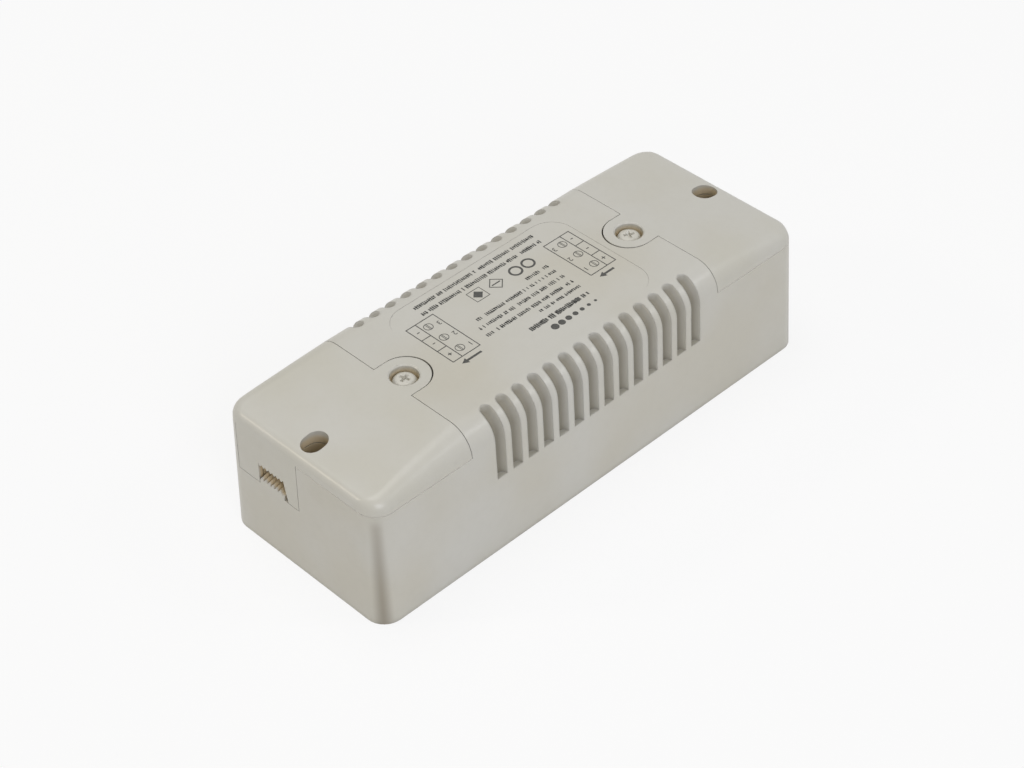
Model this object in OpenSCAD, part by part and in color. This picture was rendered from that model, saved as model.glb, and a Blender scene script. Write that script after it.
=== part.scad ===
// Receiver that dims led strips, in a moulded box with a screwed cover over the terminals at each end.
// The long way is along X, the underside lies on Z = 0 and the origin is the middle of the underside.
// The output end is at -X and the input end is at +X. Both end covers are the same moulding, turned about Z.

/* [Housing] */
// Length of the housing at its foot
body_l = 130; // [120:1:180]
// Width of the housing at its foot
body_w = 49.4; // [48:0.2:64]
// Height of the flat middle of the top
body_h = 36; // [34:0.5:44]
// How far the end covers fall from the middle to the ends
crown_drop = 3.4; // [1.8:0.1:3.6]
// Radius of the arc that the end covers follow
crown_r = 340; // [300:5:500]
// Slope of the walls in degrees, for release from the mould
draft = 1.6; // [0.5:0.1:2]
// Radius of the four upright corners at the foot
corner_r = 4.8; // [4:0.1:7]
// Radius along the two long top edges
edge_r = 6.2; // [4.5:0.1:6.5]
// Radius along the top edge of each end
end_edge_r = 1.8; // [0.6:0.1:2.2]
// Thickness of the side and end walls
wall = 2.2; // [2:0.1:2.6]
// Thickness of the closed top of the middle
top_wall = 2.2; // [2:0.1:2.8]
// Thickness of the walls that part the terminals from the circuit
partition_t = 1.6; // [1.2:0.1:2.4]

/* [Vent grooves] */
// Distance from one groove to the next
vent_pitch = 4.574; // [3.8:0.02:6]
// Width of a groove, which is round in section
vent_w = 2.8; // [2:0.1:3]
// Depth of a groove, less than the wall
vent_depth = 1.45; // [1:0.05:1.5]
// How far the grooves start from the side of the box
vent_inset = 6.1; // [5.2:0.1:7]
// Height above the foot at which the grooves end
vent_foot = 19.6; // [16:0.2:24]
// Least distance from the end covers to the row of grooves
vent_margin = 5.6; // [4:0.1:10]
// How far the row lies off the middle
vent_shift = 0.4; // [0:0.05:1]

/* [End covers] */
// Length of an end cover along the side
cover_l = 27.8; // [26:0.2:30]
// Thickness of the cover
cover_t = 2.0; // [1.8:0.1:2.4]
// Height of the parting line along the sides and ends
seam_z = 29.7; // [28:0.1:30]
// Gap that shows between the cover and the housing
seam_gap = 0.12; // [0.1:0.02:0.3]
// Gap beside the screw tab
tab_gap = 0.14; // [0.1:0.02:0.4]
// Further gap at the tip of the screw tab
tip_slack = 0.25; // [0.1:0.05:0.4]
// Radius of the screw tab
tab_r = 5.8; // [5.2:0.05:7]
// How far the screw lies in from the cover's straight edge
tab_reach = 3.25; // [2:0.05:5]
// Thickness of the screw tab
tab_t = 4.0; // [3.6:0.1:4.6]
// Height of the rim that stands inside the cover
lip_h = 0.8; // [0.6:0.1:0.8]
// Thickness of that rim
lip_t = 0.9; // [0.7:0.1:1]
// Clearance between pieces that fit into each other
fit = 0.2; // [0.1:0.05:0.3]

/* [Cable clamp] */
// Near side of the cover's tongue, from the middle of the width
tongue_y0 = 0.6; // [0:0.1:2]
// Far side of the cover's tongue, from the middle of the width
tongue_y1 = 20; // [17:0.1:20]
// Lower edge of the tongue
tongue_z = 17.3; // [15:0.1:18]
// Near side of the cable notch at its top
notch_y0 = 5.2; // [5:0.1:7]
// Width of the cable notch at its top
notch_w = 8.1; // [6:0.1:9]
// How far the near side of the notch leans out towards its foot
notch_lean = 1.3; // [0:0.1:1.4]
// Height of the roots of the teeth on the cover's jaw
jaw_z = 22.7; // [22:0.1:24]
// Height of the lower jaw at the outside
jaw_foot_z = 18.2; // [17.8:0.1:19]
// Rise of the lower jaw from the outside to the inside
jaw_rise = 1.6; // [0.8:0.1:2]
// Depth of the jaws into the box
jaw_l = 5.2; // [4:0.1:6]
// Distance from one tooth of the jaws to the next
tooth_pitch = 1.15; // [0.8:0.05:1.6]
// Height of the teeth
tooth_h = 0.7; // [0.4:0.05:0.8]

/* [Fixing] */
// Distance of the slotted fixing hole from the end of the box
slot_inset = 6; // [5.8:0.1:8]
// Length of the fixing slot
slot_l = 6.2; // [5.6:0.1:6.6]
// Width of the fixing slot
slot_w = 5.2; // [4.2:0.1:5.4]
// Wall of the tube that leads the fixing screw through the box
tube_wall = 1.3; // [1:0.1:1.6]

/* [Cover screws] */
// Diameter of the well for the head
well_d = 6.4; // [6.2:0.1:8]
// Depth of the well
well_depth = 2.6; // [2:0.1:2.8]
// Bevel round the mouth of the well
well_bevel = 0.3; // [0.1:0.05:0.4]
// Diameter of the screw head
head_d = 5.4; // [5:0.1:6.1]
// Height of the screw head
head_h = 1.8; // [1.2:0.1:2]
// Diameter of the screw's shank
shank_d = 2.9; // [2.4:0.1:3.2]
// Length of the screw under its head
shank_l = 10; // [8:0.5:14]
// Outer diameter of the screw pillars
pillar_d = 7.4; // [6.4:0.1:9]

/* [Base plate] */
// Thickness of the base plate
base_t = 2; // [1.6:0.1:3]
// Distance of the snap fingers from the ends of the box
finger_inset = 45; // [40:1:50]
// Width of a snap finger
finger_w = 8; // [6:0.5:10]
// Thickness of a snap finger
finger_t = 1.3; // [1:0.1:1.4]
// Height of a snap finger above the plate
finger_h = 9; // [7:0.5:11]
// How far the finger's nose enters the wall
nose = 0.8; // [0.4:0.1:0.9]
// Height of the posts that carry the board
post_h = 4.5; // [3.5:0.5:7]
// Diameter of the posts
post_d = 6.2; // [5:0.1:7]

/* [Circuit board] */
// Thickness of the board
board_t = 1.6; // [1:0.1:2]
// Distance between the poles of a terminal block
pole_pitch = 5.08; // [4.6:0.02:5.3]
// Height of a terminal block
terminal_h = 10.2; // [9.4:0.1:12]
// Depth of a terminal block
terminal_l = 9.6; // [8.6:0.1:10]
// Diameter of a smoothing capacitor
capacitor_d = 10; // [8:0.5:11]
// Height of a smoothing capacitor
capacitor_h = 16; // [11:0.5:18]
// Diameter of the choke
choke_d = 12; // [9:0.5:13]
// Height of the choke
choke_h = 8; // [6:0.5:10]

/* [Label] */
// Distance from the screw tabs to the label
label_margin = 1.95; // [1:0.05:4]
// Width of the label
label_w = 33.6; // [26:0.2:34]
// Radius of the label's corners
label_r = 6; // [2:0.5:8]
// Thickness of the label
label_t = 0.2; // [0.1:0.05:0.3]
// How far the label lies below the top of the housing
label_sink = 0.05; // [0.02:0.01:0.1]

/* [Hidden] */
$fn = 64;

ivory = [0.82, 0.81, 0.76];
board_green = [0.1, 0.36, 0.2];
metal = [0.75, 0.76, 0.78];
black = [0.09, 0.09, 0.1];

lean = tan(draft);
// Half the size of a block that is larger than the whole box
big = 60;
// How far a cut runs past what it opens
past = 9;
eps = 0.01;
loft_fn = 32;
arc_steps = 8;
crown_steps = 5;

// Lines that the covers and the housing share
seam_x = body_l / 2 - cover_l;
screw_x = seam_x - tab_reach;
tab_tip = screw_x - tab_r;
tab_z = body_h - tab_t;
inner_top = body_h - top_wall;
lip_inset = wall - lip_t;
skirt_t = lip_inset - fit;
slot_x = body_l / 2 - slot_inset;
tube_l = slot_l + 2 * tube_wall;
tube_w = slot_w + 2 * tube_wall;
ramp = atan(jaw_rise / jaw_l);

// Walls inside the housing: the ledge under a cover's straight edge, the pocket for its tab, the
// pillar for its screw and the ribs beside the snap fingers
ledge = 1.4;
ledge_t = 3;
pocket_wall = 1.4;
pocket_floor = 2;
pillar_end = 2;
pillar_foot = body_h - well_depth - shank_l - pillar_end;
rib_t = 1.6;
rib_gap = 4;

// The arc of the end covers runs from the seam to the end, and falls by crown_drop
crown_slope = atan(crown_drop / cover_l);
crown_half = asin(norm([cover_l, crown_drop]) / 2 / crown_r);
crown_x = seam_x - crown_r * sin(crown_slope - crown_half);
crown_z = body_h - crown_r * cos(crown_slope - crown_half);
function crown_top(x) = x < seam_x ? body_h : crown_z + sqrt(crown_r * crown_r - pow(x - crown_x, 2));

// Where the faces of the sloping walls lie at a height
function side_y(z, inset) = body_w / 2 - inset - z * lean;
function end_x(z, inset) = body_l / 2 - inset - z * lean;

// Centre of the rounding along a long edge, touching the top and the sloping wall
function round_z(top, r) = top - r;
function round_y(top, r, inset) = side_y(round_z(top, r), inset) - r / cos(draft);

// Radius along the long edges of a cover: it shrinks with the fall of the top, so that the rounding
// starts at one height all along and stays above the parting line
least_r = 0.3;
function cover_r(x, inset) = max(edge_r - body_h + crown_top(x) - inset, least_r);

// The board and what it carries
board_z = base_t + post_h;
board_top = board_z + board_t;
finger_z = base_t + finger_h;
finger_y = side_y(finger_z, wall) - fit;
board_gap = 0.4;
post_inset = 3.6;
board_l = 2 * (slot_x - tube_l / 2 - board_gap);
board_w = 2 * (finger_y - finger_t - board_gap);
post_x = board_l / 2 - post_inset;
post_y = board_w / 2 - post_inset;
finger_x = body_l / 2 - finger_inset;
partition_foot = board_top + 2 * fit;
pilot_gap = 0.1;

// Lays a flat outline, drawn in Y and Z, along X
module along_x(x0, x1) {
    translate([x0, 0, 0]) rotate([90, 0, 90]) linear_extrude(x1 - x0) children();
}

// Lays a flat outline, drawn in X and Z, along Y
module along_y(y0, y1) {
    translate([0, y1, 0]) rotate([90, 0, 0]) linear_extrude(y1 - y0) children();
}

// A block from one corner to the other
module block(low, high) {
    translate(low) cube(high - low);
}

module both_ends() {
    for (turn = [0, 180]) rotate([0, 0, turn]) children();
}

module stadium(l, w, z0, z1) {
    translate([0, 0, z0]) linear_extrude(z1 - z0) {
        square([l - w, w], center = true);
        for (s = [-1, 1]) translate([s * (l - w) / 2, 0]) circle(d = w);
    }
}

module rounded_rectangle(l, w, r) {
    square([l - 2 * r, w], center = true);
    square([l, w - 2 * r], center = true);
    for (sx = [-1, 1], sy = [-1, 1]) translate([sx * (l / 2 - r), sy * (w / 2 - r)]) circle(r = r);
}

// The sloping box that the housing is cut from, drawn in by inset
module sloping_box(inset, h) {
    r = corner_r - inset;
    hull() for (sx = [-1, 1], sy = [-1, 1], z = [0, h - eps]) {
        translate([sx * (end_x(z, inset) - r), sy * (side_y(z, inset) - r), z])
            cylinder(h = eps, r = r, $fn = loft_fn);
    }
}

// What is taken off to round the two long edges under a flat top
module edge_waste(top, r, inset) {
    c = [round_y(top, r, inset), round_z(top, r)];
    touch = c + r * [cos(draft), sin(draft)];
    for (s = [0, 1]) mirror([s, 0]) difference() {
        polygon([c, touch, [touch.x + past, touch.y], [touch.x + past, top + past], [c.x, top + past]]);
        translate(c) circle(r = r);
    }
}

// The screw tab, with its root outside the seam. The pocket for it is the same, larger by grow and
// longer by slack at the tip
module tab_block(grow, slack, z0, z1) {
    r = tab_r + grow;
    translate([screw_x - slack, 0, z0]) linear_extrude(z1 - z0) {
        circle(r = r);
        translate([0, -r]) square([tab_reach + ledge + slack, 2 * r]);
    }
}

// The rounded long edge of the housing: its centre, and where it meets the side wall
edge_c = [round_y(body_h, edge_r, 0), round_z(body_h, edge_r)];
edge_touch = edge_c + edge_r * [cos(draft), sin(draft)];
vent_r = vent_w / 2;

// The grooves are cut with a ball whose centre runs on an arc round the long edge, from the turn away
// from the upright at which it starts, and then down the side
path_r = edge_r + vent_r - vent_depth;
vent_start_y = body_w / 2 - vent_inset + vent_r;
vent_turn = asin((vent_start_y - edge_c.x) / path_r);

// Section of a groove, outwards along X from the centre of the ball, with walls that run on past the
// surface
module groove_section() {
    circle(r = vent_r);
    translate([0, -vent_r]) square([vent_depth, vent_w]);
}

module groove() {
    translate([0, vent_start_y, edge_c.y + path_r * cos(vent_turn)]) {
        sphere(r = vent_r);
        cylinder(r = vent_r, h = vent_depth);
    }
    translate([0, edge_c.x, edge_c.y]) rotate([90, 0, 90]) rotate([0, 0, draft])
        rotate_extrude(angle = 90 - draft - vent_turn) translate([path_r, 0]) groove_section();
    translate([0, edge_c.x, edge_c.y]) rotate([draft, 0, 0]) translate([0, path_r, 0])
        rotate([180, 0, 0]) linear_extrude((edge_touch.y - vent_foot) / cos(draft))
            rotate(-90) groove_section();
}

vent_room = 2 * (seam_x - vent_margin) - vent_w;
vent_count = floor(vent_room / vent_pitch) + 1;
vent_start = vent_shift - (vent_count - 1) * vent_pitch / 2;

module vent_grooves() {
    for (i = [0 : vent_count - 1], s = [0, 1]) mirror([0, s, 0])
        translate([vent_start + i * vent_pitch, 0, 0]) groove();
}

// Corners of the teeth along a jaw, from y0 to y1 at height z, each tooth rising by rise
function teeth(y0, y1, z, rise) = let (n = floor((y1 - y0) / tooth_pitch + eps)) concat(
    [for (i = [0 : n - 1], k = [0, 0.5]) [y0 + (i + k) * tooth_pitch, z + 2 * k * rise]],
    [[y0 + n * tooth_pitch, z], [y1, z]]);

// The end pieces are drawn at +X and turned to -X, where their tongue lies at +Y
jaw_y0 = -notch_y0 - notch_w;
jaw_y1 = -notch_y0;
jaw_out = end_x(jaw_foot_z, 0);
jaw_crest = jaw_foot_z + jaw_rise + tooth_h;
clamp_rim = 0.9;
clamp_y0 = jaw_y0 - clamp_rim;
clamp_y1 = jaw_y1 + clamp_rim;
jaw_room = 3;
jaw_t = 2.6;
jaw_gusset = 4;

// Space over the lower jaw, whose floor is the ramp with its teeth
module jaw_space() {
    space_h = jaw_z - jaw_foot_z;
    translate([jaw_out, 0, jaw_foot_z]) rotate([0, ramp, 0]) along_x(-jaw_l - jaw_room, past)
        polygon(concat(teeth(jaw_y0 + fit, jaw_y1, 0, tooth_h),
                       [[jaw_y1, space_h], [jaw_y0 + fit, space_h]]));
    block([jaw_out - jaw_l - jaw_room, clamp_y0 - fit, jaw_crest],
          [jaw_out + past, clamp_y1 + fit, body_h]);
}

// Bracket inside the end wall that carries the lower jaw
module lower_jaw() {
    inner = jaw_out - jaw_l;
    outer = jaw_out + wall;
    along_y(jaw_y0 + fit, jaw_y1) polygon([[inner, jaw_crest], [inner, jaw_crest - jaw_t],
        [jaw_out - wall, jaw_foot_z - jaw_gusset], [outer, jaw_foot_z - jaw_gusset], [outer, jaw_crest]]);
}

// What is taken off above the parting line and for the tongue, but for the rim inside the cover
module end_waste() {
    difference() {
        both_ends() {
            block([seam_x, -big, seam_z - seam_gap], [body_l, big, body_h + past]);
            block([seam_x + ledge, -tongue_y1 - seam_gap, tongue_z - seam_gap],
                  [body_l, -tongue_y0 + seam_gap, body_h]);
        }
        intersection() {
            sloping_box(lip_inset, body_h);
            block([-body_l, -big, 0], [body_l, big, seam_z + lip_h]);
        }
        both_ends() {
            lower_jaw();
            // Ledge under the straight edge of the cover
            block([seam_x - eps, -round_y(body_h, edge_r, 0), seam_z - ledge_t],
                  [seam_x + ledge, round_y(body_h, edge_r, 0), crown_top(seam_x + ledge) - cover_t - fit]);
        }
    }
}

// The hollow of the housing, less all that stands in it
module housing_hollow() {
    difference() {
        translate([0, 0, -eps]) sloping_box(wall, body_h + past);
        block([-seam_x, -big, inner_top], [seam_x, big, big]);
        along_x(-seam_x, seam_x) edge_waste(inner_top, edge_r - wall, wall);
        both_ends() {
            // Wall between the terminals and the circuit, with the ledge on it
            block([seam_x - partition_t, -big, partition_foot], [seam_x, big, big]);
            block([seam_x - partition_t, -big, seam_z - ledge_t], [seam_x + ledge, big, big]);
            tab_block(tab_gap + pocket_wall, tip_slack, tab_z - pocket_floor, body_h);
            translate([screw_x, 0, pillar_foot]) cylinder(d = pillar_d, h = big);
            translate([slot_x, 0, 0]) stadium(tube_l, tube_w, base_t, body_h);
            lower_jaw();
            // Ribs that stiffen the long walls and stand on the base plate
            for (s = [-1, 1], x = [finger_x - finger_w / 2 - rib_gap, finger_x + finger_w / 2 + rib_gap])
                translate([x - rib_t / 2, s > 0 ? finger_y - finger_t : -big, base_t])
                    cube([rib_t, big - finger_y + finger_t, body_h]);
        }
    }
}

module housing() {
    color(ivory) difference() {
        sloping_box(0, body_h);
        along_x(-seam_x - eps, seam_x + eps) edge_waste(body_h, edge_r, 0);
        end_waste();
        housing_hollow();
        vent_grooves();
        translate([0, 0, body_h - label_t - label_sink]) linear_extrude(past)
            rounded_rectangle(label_l + 2 * label_gap, label_w + 2 * label_gap, label_r + label_gap);
        both_ends() {
            jaw_space();
            tab_block(tab_gap, tip_slack, tab_z, body_h + past);
            translate([screw_x, 0, pillar_foot - 1]) cylinder(d = shank_d + pilot_gap, h = big);
            translate([slot_x, 0, 0]) stadium(slot_l, slot_w, -past, body_h);
            for (s = [0, 1]) mirror([0, s, 0]) nose_recess();
            hook_recess();
        }
    }
}

// Height at which a finger's nose catches, and the flat and the bevel at its tip
catch_z = finger_z - 3;
nose_land = 0.6;
finger_bevel = 0.3;

module nose_recess() {
    depth_y = side_y(catch_z, wall) + nose + fit;
    block([finger_x - finger_w / 2 - 2 * fit, finger_y - finger_t / 2, catch_z - fit],
          [finger_x + finger_w / 2 + 2 * fit, depth_y, finger_z]);
}

module snap_finger() {
    tip = side_y(catch_z, wall) + nose;
    along_x(finger_x - finger_w / 2, finger_x + finger_w / 2) polygon([
        [finger_y - finger_t, base_t - 1], [finger_y, base_t - 1], [finger_y, catch_z], [tip, catch_z],
        [tip, catch_z + nose_land], [finger_y, finger_z - finger_bevel],
        [finger_y - finger_bevel, finger_z], [finger_y - finger_t, finger_z]]);
}

module base_plate() {
    color(ivory) difference() {
        union() {
            linear_extrude(base_t) rounded_rectangle(2 * (end_x(base_t, wall) - fit),
                2 * (side_y(base_t, wall) - fit), corner_r - wall);
            both_ends() {
                for (s = [0, 1]) mirror([0, s, 0]) {
                    snap_finger();
                    translate([post_x, post_y, base_t - 1]) cylinder(d = post_d, h = post_h + 1);
                }
            }
        }
        both_ends() {
            translate([slot_x, 0, 0]) stadium(slot_l, slot_w, -past, base_t + past);
            for (s = [-1, 1]) translate([post_x, s * post_y, base_t / 2])
                cylinder(d = board_shank_d + pilot_gap, h = post_h + past);
        }
    }
}

// Ring of points round one slice of a cover: a flat top with rounded edges, drawn in by narrow, whose
// points lean inwards with the end wall
function ring(x, top, inset, narrow) = let (
    r = cover_r(x, inset),
    y = round_y(top, r, inset) - narrow,
    foot = side_y(0, inset) - narrow,
    arc = [for (i = [0 : arc_steps]) draft + i * (90 - draft) / arc_steps],
    half = concat([[foot, 0]], [for (a = arc) [y + r * cos(a), top - r + r * sin(a)]]),
    n = len(half)
) concat([for (p = half) [x + lean * (body_h - p.y), p.x, p.y]],
         [for (i = [n - 1 : -1 : 0]) [x + lean * (body_h - half[i].y), -half[i].x, half[i].y]]);

// Form of an end cover, drawn in by inset: rings that follow the crown, the upright corners and the
// rounded end
module cover_form(inset) {
    corner = corner_r - inset;
    round = max(end_edge_r - inset, 0);
    corner_x = end_x(body_h, corner_r);
    rings = concat(
        [for (x = [tab_tip - past, seam_x]) ring(x, body_h - inset, inset, 0)],
        [for (i = [1 : crown_steps]) let (x = seam_x + i * (corner_x - seam_x) / crown_steps)
            ring(x, crown_top(x) - inset, inset, 0)],
        [for (a = [360 / loft_fn : 360 / loft_fn : 90]) let (
            x = corner_x + corner * sin(a),
            past = max(corner * (sin(a) - 1) + round, 0),
            top = crown_top(x) - inset - round + sqrt(round * round - past * past)
        ) ring(x, top, inset, corner * (1 - cos(a)))]);
    n = len(rings[0]);
    last = (len(rings) - 1) * n;
    sides = [for (i = [0 : len(rings) - 2], k = [0 : n - 1])
        let (a = i * n + k, b = i * n + (k + 1) % n) [a, b, b + n, a + n]];
    polyhedron([for (r = rings, p = r) p], concat(
        [[for (k = [0 : n - 1]) k]],
        [for (f = sides) [f[2], f[1], f[0]]],
        [for (f = sides) [f[3], f[2], f[0]]],
        [[for (k = [n - 1 : -1 : 0]) last + k]]));
}

// Hook that holds the outer end of the cover, on the side without the tongue
hook_y0 = 8;
hook_y1 = 14;
hook_t = 1.2;
hook_z = seam_z - 5.7;
hook_nose = 0.6;
hook_land = 0.8;

module cover_hook() {
    x = end_x(seam_z, wall) - fit;
    tip = x + hook_nose + fit;
    top = crown_top(x) - cover_t / 2;
    along_y(hook_y0, hook_y1) polygon([[x - hook_t, hook_z], [x, hook_z], [tip, hook_z + hook_land],
        [tip, hook_z + 2 * hook_land], [x, hook_z + 2 * hook_land], [x, top], [x - hook_t, top]]);
}

module hook_recess() {
    x = end_x(seam_z, wall);
    block([x - hook_t, hook_y0 - 2 * fit, hook_z - fit],
          [x + hook_nose + 2 * fit, hook_y1 + 2 * fit, hook_z + 2 * hook_land + fit]);
}

// Upper jaw: a plate over the notch, stiffened by ribs up to the top of the cover
plate_t = 1.8;
plate_rib_t = 1.2;

module upper_jaw() {
    inner = jaw_out - jaw_l;
    outer = end_x(jaw_z, lip_inset);
    top = crown_top(outer) - cover_t / 2;
    block([inner, clamp_y0, jaw_z - tooth_h], [outer, clamp_y1, jaw_z + plate_t]);
    for (y = [clamp_y0, (clamp_y0 + clamp_y1 - plate_rib_t) / 2, clamp_y1 - plate_rib_t])
        along_y(y, y + plate_rib_t) polygon([[inner, jaw_z], [outer, jaw_z],
            [outer - lean * (top - jaw_z), top], [inner - plate_t, top]]);
}

module cover_notch() {
    along_x(jaw_out - jaw_l - past, body_l) polygon(concat(
        [[jaw_y0, tongue_z - past], [jaw_y0, jaw_z]],
        teeth(jaw_y0, jaw_y1, jaw_z, -tooth_h),
        [[jaw_y1 + notch_lean, tongue_z], [jaw_y1 + notch_lean, tongue_z - past]]));
}

module end_cover() {
    difference() {
        union() {
            difference() {
                intersection() {
                    cover_form(0);
                    union() {
                        block([seam_x + seam_gap, -big, seam_z], [body_l, big, big]);
                        block([end_x(tongue_z, 2 * wall), -tongue_y1, tongue_z],
                              [body_l, -tongue_y0, seam_z + 1]);
                        tab_block(0, 0, tab_z, body_h + past);
                    }
                }
                intersection() {
                    cover_form(skirt_t);
                    block([tab_tip, -big, 0], [body_l, big, seam_z + lip_h + fit]);
                }
                difference() {
                    intersection() {
                        cover_form(cover_t);
                        block([seam_x, -big, 0], [body_l, big, big]);
                    }
                    tab_block(0, 0, tab_z, big);
                    // Collar that stands on the tube for the fixing screw
                    translate([slot_x, 0, 0]) stadium(tube_l, tube_w, seam_z, big);
                }
            }
            upper_jaw();
            cover_hook();
        }
        cover_notch();
        translate([slot_x, 0, 0]) stadium(slot_l, slot_w, 0, big);
        translate([screw_x, 0, body_h - well_depth]) cylinder(d = well_d, h = big);
        translate([screw_x, 0, body_h - well_bevel])
            cylinder(d1 = well_d, d2 = well_d + 4 * well_bevel, h = 2 * well_bevel);
        translate([screw_x, 0, 0]) cylinder(d = shank_d + 2 * fit, h = big);
    }
}

module output_cover() {
    color(ivory) rotate([0, 0, 180]) end_cover();
}

module input_cover() {
    color(ivory) end_cover();
}

// Pan head screw with a cross recess of a length, width and depth, standing on its head's seat at z = 0
module pan_screw(d, h, shank, l, cross) {
    dome = (d * d / 4 + h * h) / (2 * h);
    point = shank / 2;
    difference() {
        union() {
            intersection() {
                translate([0, 0, h - dome]) sphere(r = dome);
                cylinder(d = d, h = h);
            }
            translate([0, 0, point - l]) cylinder(d = shank, h = l - point + eps);
            translate([0, 0, -l]) cylinder(d1 = 0.4, d2 = shank, h = point);
        }
        for (a = [0, 90]) rotate([0, 0, a]) translate([-cross.x / 2, -cross.y / 2, h - cross.z])
            cube([cross.x, cross.y, h]);
    }
}

module cover_screws() {
    color(metal) both_ends() translate([screw_x, 0, body_h - well_depth])
        pan_screw(head_d, head_h, shank_d, shank_l, [3, 0.8, 1]);
}

label_gap = 0.04;
label_l = 2 * (tab_tip - label_margin);

module rating_label() {
    color([0.86, 0.85, 0.8]) translate([0, 0, body_h - label_t - label_sink]) linear_extrude(label_t)
        rounded_rectangle(label_l, label_w, label_r);
}

// Screws of the board
board_head_d = 4.2;
board_head_h = 1.6;
board_shank_d = 2.1;

module circuit_board() {
    color(board_green) difference() {
        translate([0, 0, board_z]) linear_extrude(board_t) rounded_rectangle(board_l, board_w, 2);
        both_ends() {
            for (s = [-1, 1]) translate([post_x, s * post_y, 0])
                cylinder(d = board_shank_d + 4 * fit, h = big);
            for (y = poles) translate([cage_x, y, 0]) cylinder(d = pin_d + fit, h = big);
        }
    }
}

module board_screws() {
    color(metal) both_ends() for (s = [-1, 1]) translate([post_x, s * post_y, board_top])
        pan_screw(board_head_d, board_head_h, board_shank_d, board_t + post_h - 0.6, [2.4, 0.55, 0.8]);
}

// Three-pole screw terminals with their wire holes facing outwards. A metal cage lifts the wire
// against the screw and stands in a chamber of the block
terminal_x = seam_x + 2.2;
terminal_end = 0.6;
terminal_w = 3 * pole_pitch + terminal_end;
poles = [-pole_pitch, 0, pole_pitch];
terminal_step = [1.2, 2];
cage_gap = 0.1;
cage_x = terminal_x + terminal_l / 2;
cage_z = 1.2;
cage_l = 6.6;
cage_w = 3.6;
cage_h = 4.8;
cage_t = 0.7;
cage_top_t = 1;
pin_d = 1.2;
clamp_screw_d = 2.5;
clamp_head_d = 3.5;
clamp_head_h = 2.2;
clamp_slot = [0.7, 0.8];

module terminal_block() {
    difference() {
        translate([terminal_x, -terminal_w / 2, board_top]) cube([terminal_l, terminal_w, terminal_h]);
        for (y = poles) translate([cage_x, y, board_top]) {
            block([-cage_l / 2 - cage_gap, -cage_w / 2 - cage_gap, cage_z - cage_gap],
                  [terminal_l, cage_w / 2 + cage_gap, cage_z + cage_h + cage_gap]);
            translate([0, 0, cage_z]) cylinder(d = clamp_head_d + 2 * cage_gap, h = terminal_h);
            translate([0, 0, -eps]) cylinder(d = pin_d + fit, h = cage_z + 1);
        }
        // Step along the inner edge of the top
        translate([terminal_x - 1, -terminal_w, board_top + terminal_h - terminal_step.y])
            cube([1 + terminal_step.x, 2 * terminal_w, past]);
    }
}

module terminal_cages() {
    for (y = poles) translate([cage_x, y, board_top]) {
        difference() {
            block([-cage_l / 2, -cage_w / 2, cage_z], [cage_l / 2, cage_w / 2, cage_z + cage_h]);
            block([-cage_l, -cage_w / 2 + cage_t, cage_z + cage_t],
                  [cage_l, cage_w / 2 - cage_t, cage_z + cage_h - cage_top_t]);
            translate([0, 0, cage_z + cage_h / 2]) cylinder(d = clamp_screw_d + cage_gap, h = cage_h);
        }
        // Pin through the board, soldered under it
        translate([0, 0, -board_t - 1.6]) cylinder(d = pin_d, h = board_t + 1.6 + cage_z + eps);
    }
}

module terminal_screws() {
    seat = cage_z + cage_h + cage_gap / 2;
    for (y = poles) translate([cage_x, y, board_top]) difference() {
        union() {
            translate([0, 0, seat - 2 * cage_top_t]) cylinder(d = clamp_screw_d, h = 2 * cage_top_t + eps);
            translate([0, 0, seat]) cylinder(d = clamp_head_d, h = clamp_head_h);
        }
        translate([-clamp_head_d, -clamp_slot.x / 2, seat + clamp_head_h - clamp_slot.y])
            cube([2 * clamp_head_d, clamp_slot.x, 2]);
    }
}

terminal_green = [0.12, 0.38, 0.24];

module output_terminal_block() {
    color(terminal_green) rotate([0, 0, 180]) terminal_block();
}

module output_terminal_cages() {
    color(metal) rotate([0, 0, 180]) terminal_cages();
}

module output_terminal_screws() {
    color(metal) rotate([0, 0, 180]) terminal_screws();
}

module input_terminal_block() {
    color(terminal_green) terminal_block();
}

module input_terminal_cages() {
    color(metal) terminal_cages();
}

module input_terminal_screws() {
    color(metal) terminal_screws();
}

// The circuit lies in the bay between the two partitions: its output side is set out from the -X
// partition, its input side from the +X partition, and the rest between them
bay_x = seam_x - partition_t;

// Two upright power transistors beside the output, each a moulded body on a metal tab
transistor_at = [10.6 - bay_x, 8.5];
transistor_body = [3.2, 10.2, 9];
transistor_foot = 3.6;
tab_plate_t = 1.3;
tab_plate_h = 15;
tab_hole_d = 3.6;
leg_pitch = 2.54;
leg = [0.6, 0.8];

module power_transistors() {
    w = transistor_body.y;
    color(black) for (s = [-1, 1])
        translate([transistor_at.x, s * transistor_at.y - w / 2, board_top + transistor_foot])
            cube(transistor_body);
}

module transistor_tabs() {
    w = transistor_body.y;
    color(metal) for (s = [-1, 1]) translate([transistor_at.x, s * transistor_at.y, board_top]) {
        difference() {
            translate([-tab_plate_t, -w / 2, transistor_foot]) cube([tab_plate_t, w, tab_plate_h]);
            translate([-past, 0, transistor_foot + tab_plate_h - 3]) rotate([0, 90, 0])
                cylinder(d = tab_hole_d, h = 2 * past);
        }
        // Legs, soldered on the board
        for (y = [-leg_pitch, 0, leg_pitch])
            translate([-leg.x, y - leg.y / 2, 0]) cube([leg.x, leg.y, transistor_foot + eps]);
    }
}

capacitor_x = bay_x - 18.2;
capacitor_gap = 1.6;

module smoothing_capacitors() {
    color([0.12, 0.14, 0.22]) for (s = [-1, 1])
        translate([capacitor_x, s * (capacitor_d + capacitor_gap) / 2, board_top])
            cylinder(d = capacitor_d, h = capacitor_h);
}

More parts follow.
